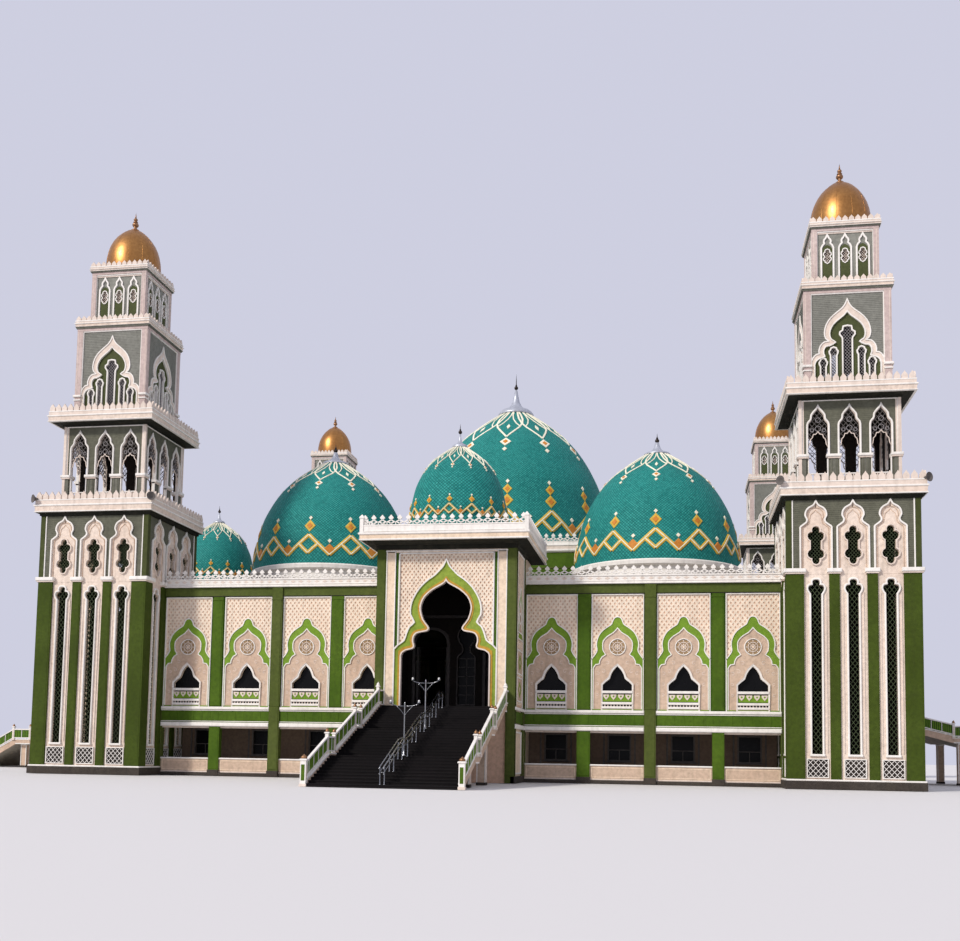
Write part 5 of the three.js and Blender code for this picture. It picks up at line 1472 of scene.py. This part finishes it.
def upper_looks():
    p = Part()
    f, posts = Part(), Part()
    wins = [(0, 29.30, .30, .46, 25.95), (-.85, 27.92, .19, .27, 25.95), (.85, 27.92, .19, .27, 25.95), (-1.49, 27.22, .17, .25, 25.95), (1.49, 27.22, .17, .25, 25.95)]
    holes = []
    for c, top, half, lobe, zb in wins:
        t = trefoil(c, top, half, lobe, zb)
        if top - .9 < zb:
            t = [(0, top), (lobe * .6, top - .06), (lobe, top - .2), (half, top - .34), (half, zb)]
        elif top < 28.5:
            t = [(0, top), (lobe * .6, top - .07), (lobe * .7, top - .17), (lobe, top - .27), (lobe * .95, top - .4), (half, top - .55), (half, zb)]
        holes.append(shift(whole(t), c))
    plate(f, [[(-2.5, 25.0), (2.5, 25.0), (2.5, 31.6), (-2.5, 31.6)]] + holes, 2.36, 2.52, "sage", side="warm")
    # dark liner behind the windows: painted shade
    plate(f, [[(-2.34, 25.0), (2.34, 25.0), (2.34, 31.6), (-2.34, 31.6)]] + holes, 2.33, 2.362, "dim")
    # great ogee: pale band with white edges over a grey-green field
    foot, foot_in = OG3 + [(2.26, 25.9)], OG3_IN + [(2.02, 25.9)]
    out = whole(foot)
    inn = whole(foot_in)
    field = [(-2.2, 25.0), (2.2, 25.0), (2.2, 31.40), (-2.2, 31.40)]
    x0 = [(2.28, 31.42), (-2.28, 31.42), (-2.28, 26.66)] + [(-x, z) for x, z in OG3[::-1]] + [(x, z) for x, z in OG3[1:]] + [(2.28, 26.66)]
    plate(f, [x0], 2.5, 2.575, "grey3")
    for zz in np.arange(26.9, 31.3, .12):
        for a, b in clip((-2.16, zz), (2.16, zz), (-2.16, 2.16, zz - 1, zz + 1), [out]):
            if b[0] - a[0] > .1:
                bar(f, a[0] + .03, b[0] - .03, zz, zz + .05, 2.56, 2.592, "grey3")
    plate(f, [out, inn], 2.45, 2.60, "warm")
    for ln in (foot, foot_in):
        path = [(-x, z) for x, z in ln[::-1]] + list(ln[1:])
        ribbon(f, path, .075, 2.5, 2.65, "white", bevel=.02)
    for (c, top, half, lobe, zb), hole in zip(wins, holes):
        path = hole[1:] + hole[:1] if False else hole
        pts = [q for q in hole]
        # open line from the right foot over the head to the left foot
        ribbon(f, pts, .085, 2.45, 2.615, "white", bevel=.02)
        # filigree in greyed colour: painted shade
        lattice(f, (c - lobe, c + lobe, zb, top), [hole], .19, .22, .022, 2.42, 2.47, "filigree", keep_outside=False)
    for s in (-1, 1):
        a, b = sorted((s * 2.24, s * 2.68))
        bar(posts, a, b, 25.0, 31.62, 2.24, 2.68, "rose")
        bar(f, s * 2.22 - .04, s * 2.22 + .04, 26.7, 31.42, 2.5, 2.66, "white", bevel=.02)
        bar(f, s * 2.57 - .02, s * 2.57 + .02, 26.8, 31.4, 2.66, 2.695, "warm", bevel=.01)
        a, b = sorted((s * 2.18, s * 2.78))
        bar(posts, a, b, 26.62, 26.78, 2.18, 2.78, "white", bevel=.03)
        a, b = sorted((s * 2.20, s * 2.74))
        bar(posts, a, b, 26.36, 26.46, 2.20, 2.74, "white", bevel=.02)
    bar(f, -2.26, 2.26, 31.36, 31.46, 2.5, 2.66, "white", bevel=.02)
    square_loft(p, [(2.69, 31.44), (2.69, 31.70)], "rose")
    # tier 4
    cs = (-1.10, 0, 1.10)
    arch = [(0, 35.60), (.10, 35.38), (.19, 35.28), (.22, 35.14), (.19, 35.02), (.30, 34.90), (.38, 34.72), (.38, 32.1)]
    med = [(0, 34.62), (.10, 34.58), (.13, 34.50), (.11, 34.43), (.2, 34.38), (.22, 34.28), (.14, 34.18), (.14, 34.10), (.22, 34.02), (.2, 33.92), (.11, 33.88), (.12, 33.80), (0, 33.72)]
    meds = [shift(closed_half(med), c) for c in cs]
    plate(f, [[(-1.9, 32.02), (1.9, 32.02), (1.9, 36.0), (-1.9, 36.0)]] + meds, 1.78, 1.94, "grey3", side="warm")
    # dark liner behind the medallions: painted shade
    plate(f, [[(-1.77, 32.02), (1.77, 32.02), (1.77, 36.0), (-1.77, 36.0)]] + meds, 1.75, 1.782, "dim")
    for c, m in zip(cs, meds):
        line = smooth_line(arch[:-1], 2) + [arch[-1]]
        path = [(c - x, z) for x, z in line[::-1]] + [(c + x, z) for x, z in line[1:]]
        ribbon(f, path, .105, 1.88, 2.03, "white", bevel=.03)
        plate(f, [shift(whole([(0, 34.95), (.2, 34.82), (.31, 34.66), (.31, 32.1)]), c), m], 1.90, 1.965, "sage")
        ribbon(f, offset(m, .03), .055, 1.9, 2.01, "white", closed=True, bevel=.015)
        lattice(f, (c - .25, c + .25, 33.7, 34.65), [m], .15, .17, .022, 1.83, 1.86, "warm", keep_outside=False)
    for s in (-1, 1):
        a, b = sorted((s * 1.74, s * 2.08))
        bar(posts, a, b, 32.02, 36.0, 1.74, 2.08, "rose")
        bar(f, s * 1.74 - .035, s * 1.74 + .035, 32.1, 35.80, 1.9, 2.055, "white", bevel=.02)
        bar(f, s * 1.93 - .02, s * 1.93 + .02, 32.2, 35.8, 2.06, 2.095, "warm", bevel=.01)
    bar(f, -1.78, 1.78, 35.74, 35.83, 1.9, 2.055, "white", bevel=.02)
    square_loft(p, [(2.09, 35.83), (2.09, 36.04)], "rose")
    bar(f, -1.76, 1.76, 35.66, 35.74, 1.9, 2.0, "warm")
    for q in range(4):
        add_turned(p, f, q)
        if q % 2 == 0:
            add_turned(p, posts, q)
    cornice(p, 2.69, 2.84, 31.71, 32.01, soffit="greyf")
    merlons(p, 2.80, 32.01, .17, .54, pitch=.40)
    square_loft(p, [(2.7, 31.97), (2.7, 32.005)], "deck")
    cornice(p, 2.09, 2.23, 36.05, 36.24, soffit="greyf")
    merlons(p, 2.20, 36.24, .17, .54, pitch=.40)
    square_loft(p, [(2.1, 36.2), (2.1, 36.235)], "deck")
    return p


def gold_dome_looks():
    p = Part()
    H = 39.97 - 36.24
    prof = [(1.84, 0), (1.88, .08), (1.93, .40), (1.94, .85), (1.91, 1.30), (1.83, 1.75), (1.70, 2.18), (1.51, 2.58), (1.26, 2.96), (.97, 3.28), (.66, 3.54), (.36, 3.72), (.12, 3.83), (0, 3.86)]
    lathe(p, [(0, 36.245)] + [(r, 36.245 + h) for r, h in smooth_line(prof, 2) if r > 1e-4] + [(0, 40.11)], 48, "copper")
    lathe(p, [(0, 36.242), (1.95, 36.242), (1.97, 36.30), (1.95, 36.40), (1.88, 36.43), (0, 36.43)], 48, "warm", smooth=False)
    # standing seams of the sheet metal
    for i in range(12):
        a = 2 * math.pi * (i + .5) / 12
        pts = [((r + .002) * math.cos(a), (r + .002) * math.sin(a), 36.245 + h) for r, h in prof[1:-2]]
        tube(p, pts, .012, "copper", 4)
    lathe(p, [(0, 39.96), (.32, 39.99), (.27, 40.08), (.13, 40.14), (.10, 40.26), (.14, 40.30), (0, 40.31)], 20, "finial")
    blob(p, (0, 0, 40.46), .235, "finial", 18, 9, squash=.8)
    lathe(p, [(0, 40.62), (.15, 40.63), (.18, 40.67), (.12, 40.72), (.08, 40.74), (0, 40.75)], 16, "finial")
    blob(p, (0, 0, 40.86), .15, "finial", 16, 8, squash=.85)
    lathe(p, [(0, 40.96), (.06, 40.97), (.04, 41.14), (0, 41.40)], 10, "finial")
    return p


# ------------------------------------------------------------------ raised middle roof
def oct_plan(r, cut=2.5):
    c = r - cut
    return [(r, -c), (r, c), (c, r), (-c, r), (-r, c), (-r, -c), (-c, -r), (c, -r)]


def raised_roof():
    p = Part()
    loft(p, [(oct_plan(9.6), 13.255), (oct_plan(9.6), 18.40)], "bright")
    loft(p, [(oct_plan(9.64), 13.255), (oct_plan(9.64), 13.8)], "white")
    # each face: sunk panels between ribs
    faces = []
    o = oct_plan(9.6)
    for i in range(8):
        a, b = Vector(o[i]), Vector(o[(i + 1) % 8])
        d = (b - a)
        L = d.length
        d.normalize()
        ang = math.atan2(d.y, d.x)
        one = Part()
        n = max(1, int(round(L / 2.05)))
        w = L / n
        for j in range(n):
            x0 = w * j
            ribbon(one, [(x0 + .18, 14.1), (x0 + w - .18, 14.1), (x0 + w - .18, 16.7), (x0 + .18, 16.7)], .10, -.02, .05, "bright", closed=True)
            plate(one, [diamond(x0 + w / 2, 15.4, .36, .6), diamond(x0 + w / 2, 15.4, .22, .36)], -.02, .05, "olive", bevel=.012)
        bar(one, -.02, L + .02, 17.0, 17.12, -.02, .07, "olive", bevel=.02)
        v = np.concatenate(one.v)
        c, s = math.cos(ang), math.sin(ang)
        one.v = [v @ np.array([[c, -s, 0], [s, c, 0], [0, 0, 1]]).T + np.array([a.x, a.y, 0])]
        p.stamp(one, [(0, (0, 0, 0))])
    # cornice and its fret
    loft(p, [(oct_plan(9.55), 18.30), (oct_plan(9.72), 18.36), (oct_plan(9.80), 18.44), (oct_plan(9.80), 18.55), (oct_plan(9.76), 18.58)], "white")
    loft(p, [(oct_plan(9.74), 18.54), (oct_plan(9.76), 18.84)], "warm")
    loft(p, [(oct_plan(9.74), 18.82), (oct_plan(9.82), 18.86), (oct_plan(9.82), 18.93), (oct_plan(9.78), 18.955)], "white")
    loft(p, [(oct_plan(9.50), 18.93), (oct_plan(9.50), 18.965)], "deck")
    o = oct_plan(9.68)
    for i in range(8):
        a, b = Vector(o[i]), Vector(o[(i + 1) % 8])
        d = (b - a)
        L = d.length
        ang = math.atan2(d.y, d.x)
        one = Part()
        bar(one, 0, L, 18.95, 19.24, -.14, 0, "white")
        bar(one, 0, L, 19.18, 19.26, -.17, .03, "white", bevel=.02)
        n = int(round(L / .57))
        w = L / n
        mats = []
        for j in range(n):
            m = np.eye(4)
            m[0, 0] = w / .57
            m[:3, 3] = (w * (j + .5), .07, 19.24)
            mats.append(m)
        one.stamp(FRET, mats)
        v = np.concatenate(one.v)
        c, s = math.cos(ang), math.sin(ang)
        one.v = [v @ np.array([[c, -s, 0], [s, c, 0], [0, 0, 1]]).T + np.array([a.x, a.y, 0])]
        p.stamp(one, [(0, (0, 0, 0))])
    return p


# ------------------------------------------------------------------ stairs
FRONT_FLIGHTS = [(15.0, 11.15, 0.0, 1.58, 10, 9.9), (9.9, 5.95, 1.58, 3.16, 10, 4.7), (4.7, .85, 3.16, 4.74, 10, 0.0)]
SIDE_FLIGHTS = [(16.95, 13.0, 0.0, 2.37, 14, 11.4), (11.4, 6.4, 2.37, 3.555, 8, 5.1), (5.1, .85, 3.555, 4.74, 8, 0.0)]
OUT = 30.46
HALF = 3.93


def sbox(p, x0, x1, u0, u1, z0, z1, mat):
    """Box across x0..x1, outward distance u0..u1 from the porch face."""
    v = [(x0, -OUT - u1, z0), (x1, -OUT - u1, z0), (x1, -OUT - u0, z0), (x0, -OUT - u0, z0),
         (x0, -OUT - u1, z1), (x1, -OUT - u1, z1), (x1, -OUT - u0, z1), (x0, -OUT - u0, z1)]
    p.add(v, [(4, 5, 6, 7), (3, 2, 1, 0), (0, 1, 5, 4), (1, 2, 6, 5), (2, 3, 7, 6), (3, 0, 4, 7)], mat)


def side_plate(p, x0, x1, outline, mat, holes=()):
    """Outline of (outward distance, up) as a plate between across x0 and x1."""
    loops = [ccw(outline)] + [ccw(h)[::-1] for h in holes]
    tri = caps(loops)
    flat = [q for l in loops for q in l]
    n = len(flat)
    v = [(x0, -OUT - u, z) for u, z in flat] + [(x1, -OUT - u, z) for u, z in flat]
    f = [tuple(t)[::-1] for t in tri] + [tuple(i + n for i in t) for t in tri]
    k = 0
    for l in loops:
        m = len(l)
        for i in range(m):
            a, b = k + i, k + (i + 1) % m
            f.append((a, b, b + n, a + n))
        k += m
    p.add(v, f, mat)


def flight_looks(fl, last=False):
    u1, u0, z0, z1, n, l0 = fl
    p = Part()
    rise, run = (z1 - z0) / n, (u1 - u0) / (n - 1)
    for i in range(n):
        z = z0 + rise * (i + 1)
        ua = u1 - run * i
        ub = u1 - run * (i + 1) if i < n - 1 else l0 + .004
        # riser face, tread slab with a nosing and two sunk grip lines
        sbox(p, -HALF + .02, HALF - .02, ua - .10, ua - .02, z - rise, z - .03, "riser")
        if i < n - 1:
            sbox(p, -HALF + .01, HALF - .01, ub - .09, ua + .015, z - .045, z, "granite")
            for k in (.05, .085):
                sbox(p, -HALF + .2, HALF - .2, ua - k - .012, ua - k, z - .01, z + .004, "riser")
        else:
            # landing in stone slabs
            nx, ny = 8, max(1, int(round((ua - ub) / .62)))
            for a in range(nx):
                for b in range(ny):
                    x = -HALF + .01 + (2 * HALF - .02) * a / nx
                    u = ub + (ua + .015 - ub) * b / ny
                    sbox(p, x + .004, x + (2 * HALF - .02) / nx - .004, u + .004, u + (ua + .015 - ub) / ny - .004, z - .045, z, "granite" if (a + b) % 2 else "riser")
    # the body under the steps, its sides as a painted stringer
    body = [(u1 - .05, z0 if z0 == 0 else z0 - .28)]
    body += [(u1 - .05, z0 + rise - .05)]
    for i in range(1, n):
        body += [(u1 - run * i - .05 + .0, z0 + rise * i - .05), (u1 - run * i - .05, z0 + rise * (i + 1) - .05)]
    body += [(l0 + .004, z1 - .05), (l0 + .004, z1 - .30), (u0 - .25, z1 - .30)]
    if z0 == 0:
        body += [(u1 - run * 1.6, 0)]
    side_plate(p, -HALF + .03, HALF - .03, body, "concrete")
    for s in (-1, 1):
        lo = -.10 if z0 == 0 else 0
        st = [(u1 + .02, z0 if z0 == 0 else z0 - .30), (u1 + .02, z0 + .14 + rise), (u0 - .02, z1 + .12), (l0 + .006, z1 + .12), (l0 + .006, z1 - .30), (u0 - .22, z1 - .30)]
        if z0 == 0:
            st += [(u1 - .6, 0)]
        a, b = sorted((s * (HALF - .02), s * (HALF + .10)))
        side_plate(p, a, b, st, "pink")
        # white line along the top of the stringer and along its foot
        for (ua, za), (ub, zb) in (((u1 + .02, z0 + .14 + rise), (u0 - .02, z1 + .12)), ((u0 - .02, z1 + .12), (l0 + .006, z1 + .12))):
            side_plate(p, a - .03, b + .03, [(ua, za - .06), (ub, zb - .06), (ub, zb + .01), (ua, za + .01)], "white")
        side_plate(p, a - .02, b + .02, [(u0 - .22, z1 - .31), (l0 + .006, z1 - .31), (l0 + .006, z1 - .23), (u0 - .16, z1 - .23)], "white")
    if not last:
        mid = (u0 + l0) / 2
        for c in (-3.4, 3.4):
            sbox(p, c - .24, c + .24, mid - .24, mid + .24, .0, z1 - .30, "pink")
            for sx in (-1, 1):
                for su in (-1, 1):
                    sbox(p, c + sx * .235 - .03, c + sx * .235 + .03, mid + su * .235 - .03, mid + su * .235 + .03, .02, z1 - .31, "white")
            sbox(p, c - .29, c + .29, mid - .29, mid + .29, 0, .16, "base")
            sbox(p, c - .29, c + .29, mid - .29, mid + .29, z1 - .42, z1 - .30, "white")
    return p


def rail_run(p, fls, c):
    """Balustrade along one side: stone rails, green balusters between white uprights, posts."""
    t = .07
    for u1, u0, z0, z1, n, l0 in fls:
        rise = (z1 - z0) / n
        segs = [((u1 - .08, z0 + rise), (u0, z1)), ((u0, z1), (l0 + .02, z1))]
        for (ua, za), (ub, zb) in segs:
            L = abs(ua - ub)
            if L < .3:
                continue
            def at(u):
                return za + (zb - za) * (ua - u) / (ua - ub)
            for lo, hi, w in ((.93, 1.03, .075), (.20, .27, .055)):
                side_plate(p, c - w, c + w, [(ua, za + lo), (ub, zb + lo), (ub, zb + hi), (ua, za + hi)], "white")
            # small feet under the lower rail
            k = max(2, int(L / .9))
            for i in range(k):
                u = ua - L * (i + .5) / k
                z = at(u)
                sbox(p, c - .04, c + .04, u - .04, u + .04, z + .08, z + .22, "white")
            # sunk green field behind green balusters, slim white uprights
            side_plate(p, c - .012, c + .012, [(ua, za + .27), (ub, zb + .27), (ub, zb + .93), (ua, za + .93)], "green")
            k = max(2, int(L / .15))
            for i in range(1, k):
                u = ua - L * i / k
                big = i % 5 == 0
                w, q = (.022, .040) if big else (.018, .030)
                sbox(p, c - q, c + q, u - w, u + w, at(u) + .25, at(u) + .95, "white" if big else "leaf")
    marks = []
    for u1, u0, z0, z1, n, l0 in fls:
        marks += [(u1 - (.1 if z0 == 0 else 0), z0, z0 == 0), (u0, z1, False)]
    for u, z, newel in marks:
        h = 1.30 if newel else 1.16
        w = .15 if newel else .09
        last = z > 4.7
        zb = 0 if newel else z + .02
        sbox(p, c - w, c + w, u - w, u + w, zb, z + h, "white")
        sbox(p, c - w - .03, c + w + .03, u - w - .03, u + w + .03, zb, zb + .14, "warm")
        for sx in (-1, 1):
            sbox(p, c + sx * w - .012, c + sx * w + .012, u - w * .6, u + w * .6, z + .3, z + h - .2, "warm")
        sbox(p, c - w * .6, c + w * .6, u + w - .004, u + w + .014, z + .3, z + h - .2, "bright" if newel else "warm")
        y = -OUT - u
        if newel:
            square_loft(p, [(w + .05, z + h), (w + .06, z + h + .05), (w + .02, z + h + .09)], "white", (c, y))
            lathe(p, [(0, z + h + .08), (.13, z + h + .08), (.17, z + h + .14), (.15, z + h + .20), (.06, z + h + .27), (0, z + h + .34)], 16, "finial", (c, y))
        else:
            square_loft(p, [(w + .04, z + h), (w + .05, z + h + .04), (w + .01, z + h + .08)], "white", (c, y))
            lathe(p, [(0, z + h + .07), (.085, z + h + .07), (.11, z + h + .12), (.10, z + h + .18), (.045, z + h + .25), (0, z + h + .32)], 14, "white" if last else "finial", (c, y))
    return p


def handrail_looks():
    p = Part()
    def step_z(u):
        for u1, u0, z0, z1, n, l0 in FRONT_FLIGHTS:
            if l0 <= u <= u1:
                if u <= u0:
                    return z1
                run = (u1 - u0) / (n - 1)
                return z0 + (z1 - z0) / n * min(n, int((u1 - u) / run) + 1)
        return 0.0
    line = []
    for u1, u0, z0, z1, n, l0 in FRONT_FLIGHTS:
        line += [(u1 - .10, z0 + (z1 - z0) / n), (u0 + .02, z1)]
    line.append((.6, 4.74))
    for dx in (-.11, .11):
        for dz, r in ((.90, .034), (.62, .022)):
            pts = [(dx, -OUT - u, z + dz) for u, z in line]
            pts = [(dx, -OUT - line[0][0] - .12, line[0][1] + dz - .10)] + pts + [(dx, -OUT - .48, 4.74 + dz - .12)]
            tube(p, pts, r, "steel", 8)
    us = [14.85, 13.0, 11.2, 10.0, 8.0, 6.0, 4.6, 2.8, .95]
    for u in us:
        z = step_z(u)
        for dx in (-.11, .11):
            lathe(p, [(0, z + .004), (.06, z + .004), (.06, z + .02), (.028, z + .04), (.028, z + .90), (0, z + .90)], 8, "steel", (dx, -OUT - u))
        tube(p, [(-.11, -OUT - u, z + .62), (.11, -OUT - u, z + .62)], .02, "steel", 6)
    # two lamp posts with curved arms and twin globes
    for u in (10.4, 5.3):
        z = step_z(u)
        y = -OUT - u
        lathe(p, [(0, z + .004), (.11, z + .004), (.11, z + .06), (.05, z + .12), (.036, z + .4), (.032, z + 2.78), (.045, z + 2.82), (.02, z + 2.90), (0, z + 2.94)], 12, "steel", (0, y))
        for s in (-1, 1):
            arm = [(0, y, z + 2.70), (s * .20, y, z + 2.70), (s * .45, y, z + 2.72), (s * .66, y, z + 2.78), (s * .78, y, z + 2.86)]
            tube(p, arm, .020, "steel", 8)
            arm = [(0, y, z + 2.22), (s * .08, y, z + 2.30), (s * .20, y, z + 2.46), (s * .36, y, z + 2.62), (s * .46, y, z + 2.71)]
            tube(p, arm, .015, "steel", 6)
            lathe(p, [(0, z + 2.82), (.07, z + 2.84), (.09, z + 2.90), (.06, z + 2.94), (0, z + 2.95)], 12, "steel", (s * .78, y))
            blob(p, (s * .78, y, z + 2.97), .06, "lamp", 12, 8)
    return p


# ------------------------------------------------------------------ assembly
def box_part(node_box, mat, cuts=()):
    p = Part()
    (x0, y0, z0), (x1, y1, z1) = node_box
    v = [(x0, y0, z0), (x1, y0, z0), (x1, y1, z0), (x0, y1, z0), (x0, y0, z1), (x1, y0, z1), (x1, y1, z1), (x0, y1, z1)]
    p.add(v, [(4, 5, 6, 7), (3, 2, 1, 0), (0, 1, 5, 4), (1, 2, 6, 5), (2, 3, 7, 6), (3, 0, 4, 7)], mat)
    return p


def main():
    make_materials()

    # hall walls
    build("front_wall_left_looks", wall_stretch(-BAYEND, -4.54), "cream_panel", ["front_wall_left"])
    build("front_wall_right_looks", wall_stretch(4.54, BAYEND), "cream_panel", ["front_wall_right"])
    build("back_wall_looks", wall_stretch(-BAYEND, BAYEND).turned(2), "cream_panel", ["back_wall"])
    near = wall_stretch(-BAYEND, SIDE_SHIFT - 4.54)
    far = wall_stretch(SIDE_SHIFT + 4.54, BAYEND)
    for side, mir in (("right", False), ("left", True)):
        build(f"{side}_wall_front_looks", near.turned(1, (0, 0, 0), mir), "cream_panel", [f"{side}_wall_front"])
        build(f"{side}_wall_back_looks", far.turned(1, (0, 0, 0), mir), "cream_panel", [f"{side}_wall_back"])

    # ground storey walls behind the veranda
    fr = [-19.32, -14.92, -10.65, -6.3, 6.3, 10.65, 14.92, 19.32]
    sd = [-19.32, -14.92, -10.65, 2.12, 6.3, 10.65, 14.92, 19.32]
    g = setback(fr)
    build("front_ground_wall_looks", g, "ground_wall_paint", ["front_ground_wall"])
    build("back_ground_wall_looks", g.turned(2), "ground_wall_paint", ["back_ground_wall"])
    g = setback(sd)
    build("right_ground_wall_looks", g.turned(1), "ground_wall_paint", ["right_ground_wall"])
    build("left_ground_wall_looks", g.turned(1, (0, 0, 0), True), "ground_wall_paint", ["left_ground_wall"])

    # roofs
    build("roof_deck_looks", roof_deck(), "white_trim", ["roof_deck"])
    build("raised_middle_roof_looks", raised_roof(), "white_trim", ["raised_middle_roof"])

    # domes
    corner = dome_looks(6.3, 16.0, 25.45, 13.255, 27.0, 12, "teal", .17, loops=10, fine=112)
    for name, sx, sy in (("front_left", -1, -1), ("front_right", 1, -1), ("back_left", -1, 1), ("back_right", 1, 1)):
        build(f"{name}_dome_looks", corner.turned(0, (13 * sx, 13 * sy, 0)), "dome_tile", [f"{name}_dome"])
    build("main_dome_looks", dome_looks(8.7, 19.6, 33.25, 18.96, 36.8, 14, "teal_main", .18, pair=True, loops=11, fine=144, crown=4.0, hang=1.15, phase=.065, cap=1.62), "dome_tile", ["main_dome"])
    small = dome_looks(3.27, 16.4, 22.55, 15.70, 24.1, 14, "teal_porch", .13, loops=13, fine=80, shape=PORCH_SHAPE, crown=1.75, hang=.8, rise=.5, cap=.5)
    build("front_porch_dome_looks", small.turned(0, (0, -26.6, 0)), "dome_tile", ["front_porch_dome"])
    at = small.turned(0, (0, -26.6, 0))
    build("right_porch_dome_looks", at.turned(1, (0, SIDE_SHIFT, 0)), "dome_tile", ["right_porch_dome"])
    build("left_porch_dome_looks", at.turned(1, (0, SIDE_SHIFT, 0), True), "dome_tile", ["left_porch_dome"])

    # porches
    walls, roof = porch_walls(), porch_roof()
    for name, part, slot in (("porch_walls", walls, "olive_paint"), ("porch_roof", roof, "white_trim")):
        build(f"front_{name}_looks", part, slot, [f"front_{name}"])
        build(f"right_{name}_looks", part.turned(1, (0, SIDE_SHIFT, 0)), slot, [f"right_{name}"])
        build(f"left_{name}_looks", part.turned(1, (0, SIDE_SHIFT, 0), True), slot, [f"left_{name}"])

    # minarets
    tower, belfry, upper, gold = tower_looks(), belfry_looks(), upper_looks(), gold_dome_looks()
    horned = {}
    for name, sx, sy in (("front_left", -1, -1), ("front_right", 1, -1), ("back_left", -1, 1), ("back_right", 1, 1)):
        mv = (25.1 * sx, 25.1 * sy, 0)
        t = Part()
        t.stamp(tower, [(0, (0, 0, 0))])
        if sy < 0:
            for hx in (-1, 1):
                horn(t, hx * 4.12, -4.2, 18.92, math.radians(-90 + hx * 38))
        build(f"{name}_minaret_tower_looks", t.turned(0, mv), "olive_paint", [f"{name}_minaret_tower"])
        build(f"{name}_minaret_belfry_looks", belfry.turned(0, mv), "white_trim", [f"{name}_minaret_belfry"])
        build(f"{name}_minaret_upper_stage_looks", upper.turned(0, mv), "grey_green_paint", [f"{name}_minaret_upper_stage"])
        build(f"{name}_minaret_dome_looks", gold.turned(0, mv), "gold_sheet", [f"{name}_minaret_dome"])

    # stairs
    for i, n in enumerate(("lower", "middle", "upper")):
        build(f"front_stair_{n}_flight_looks", flight_looks(FRONT_FLIGHTS[i], i == 2), "dark_granite", [f"front_stair_{n}_flight"])
        s = flight_looks(SIDE_FLIGHTS[i], i == 2)
        for c in (-4.03, 4.03):
            rail_run(s, [SIDE_FLIGHTS[i]], c)
        build(f"right_stair_{n}_flight_looks", s.turned(1, (0, SIDE_SHIFT, 0)), "dark_granite", [f"right_stair_{n}_flight"])
        build(f"left_stair_{n}_flight_looks", s.turned(1, (0, SIDE_SHIFT, 0), True), "dark_granite", [f"left_stair_{n}_flight"])
    build("front_stair_rail_left_looks", rail_run(Part(), FRONT_FLIGHTS, -4.05), "white_trim", ["front_stair_rail_left"])
    build("front_stair_rail_right_looks", rail_run(Part(), FRONT_FLIGHTS, 4.05), "white_trim", ["front_stair_rail_right"])
    build("front_stair_handrail_looks", handrail_looks(), "handrail_steel", ["front_stair_handrail"])

    # the two floors stay as the CAD made them, with their own finish
    for node, mat in (("ground_floor_slab", "concrete"), ("main_floor", "concrete")):
        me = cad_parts[node].data
        me.materials.clear()
        me.materials.append(M[mat])

    # stage
    bpy.ops.mesh.primitive_plane_add(size=260, location=(0, 0, -0.002))
    floor = bpy.context.object
    floor.name = "studio_floor"
    fm = bpy.data.materials.new("studio_floor")
    fm.use_nodes = True
    fm.node_tree.nodes["Principled BSDF"].inputs["Base Color"].default_value = srgb(214, 212, 210)
    fm.node_tree.nodes["Principled BSDF"].inputs["Roughness"].default_value = 0.9
    floor.data.materials.append(fm)

    world = bpy.data.worlds.new("studio")
    bpy.context.scene.world = world
    world.use_nodes = True
    bg = world.node_tree.nodes["Background"]
    bg.inputs[0].default_value = (0.79, 0.80, 0.96, 1)
    bg.inputs[1].default_value = 0.78
    sun = bpy.data.lights.new("key", "SUN")
    sun.energy = 2.9
    sun.angle = math.radians(7)
    sun.color = (1.0, 0.95, 0.88)
    ob = bpy.data.objects.new("key", sun)
    d = Vector((0.55, 0.72, -0.62)).normalized()
    ob.matrix_world = d.to_track_quat("-Z", "Y").to_matrix().to_4x4()
    bpy.context.scene.collection.objects.link(ob)

    bpy.context.scene.view_settings.view_transform = "Standard"

    # camera
    f, shift_y = 1119.5, 0.20
    cx, cy, cz = 14.185, -70.492, 1.373
    yaw, pitch, roll = math.radians(9.769), math.radians(4.769), math.radians(0.950)
    fw = Vector((-math.sin(yaw) * math.cos(pitch), math.cos(yaw) * math.cos(pitch), math.sin(pitch)))
    rt = Vector((math.cos(yaw), math.sin(yaw), 0))
    u = rt.cross(fw)
    r2 = rt * math.cos(roll) + u * math.sin(roll)
    u2 = -rt * math.sin(roll) + u * math.cos(roll)
    cam = bpy.data.cameras.new("camera")
    cam.lens = f / 960 * 36
    cam.sensor_width = 36
    cam.sensor_fit = "HORIZONTAL"
    cam.shift_y = shift_y
    cam.clip_end = 400
    co = bpy.data.objects.new("camera", cam)
    m = Matrix((r2, u2, -fw)).transposed().to_4x4()
    m.translation = Vector((cx, cy - 29.1, cz + 0.3)) * S
    co.matrix_world = m
    bpy.context.scene.collection.objects.link(co)
    bpy.context.scene.camera = co

    for n, t in sorted(PIECES, key=lambda q: -q[1])[:12]:
        print("PIECE", n, t)
    print("PIECES", len(PIECES), "TRIANGLES", sum(t for _, t in PIECES))


main()
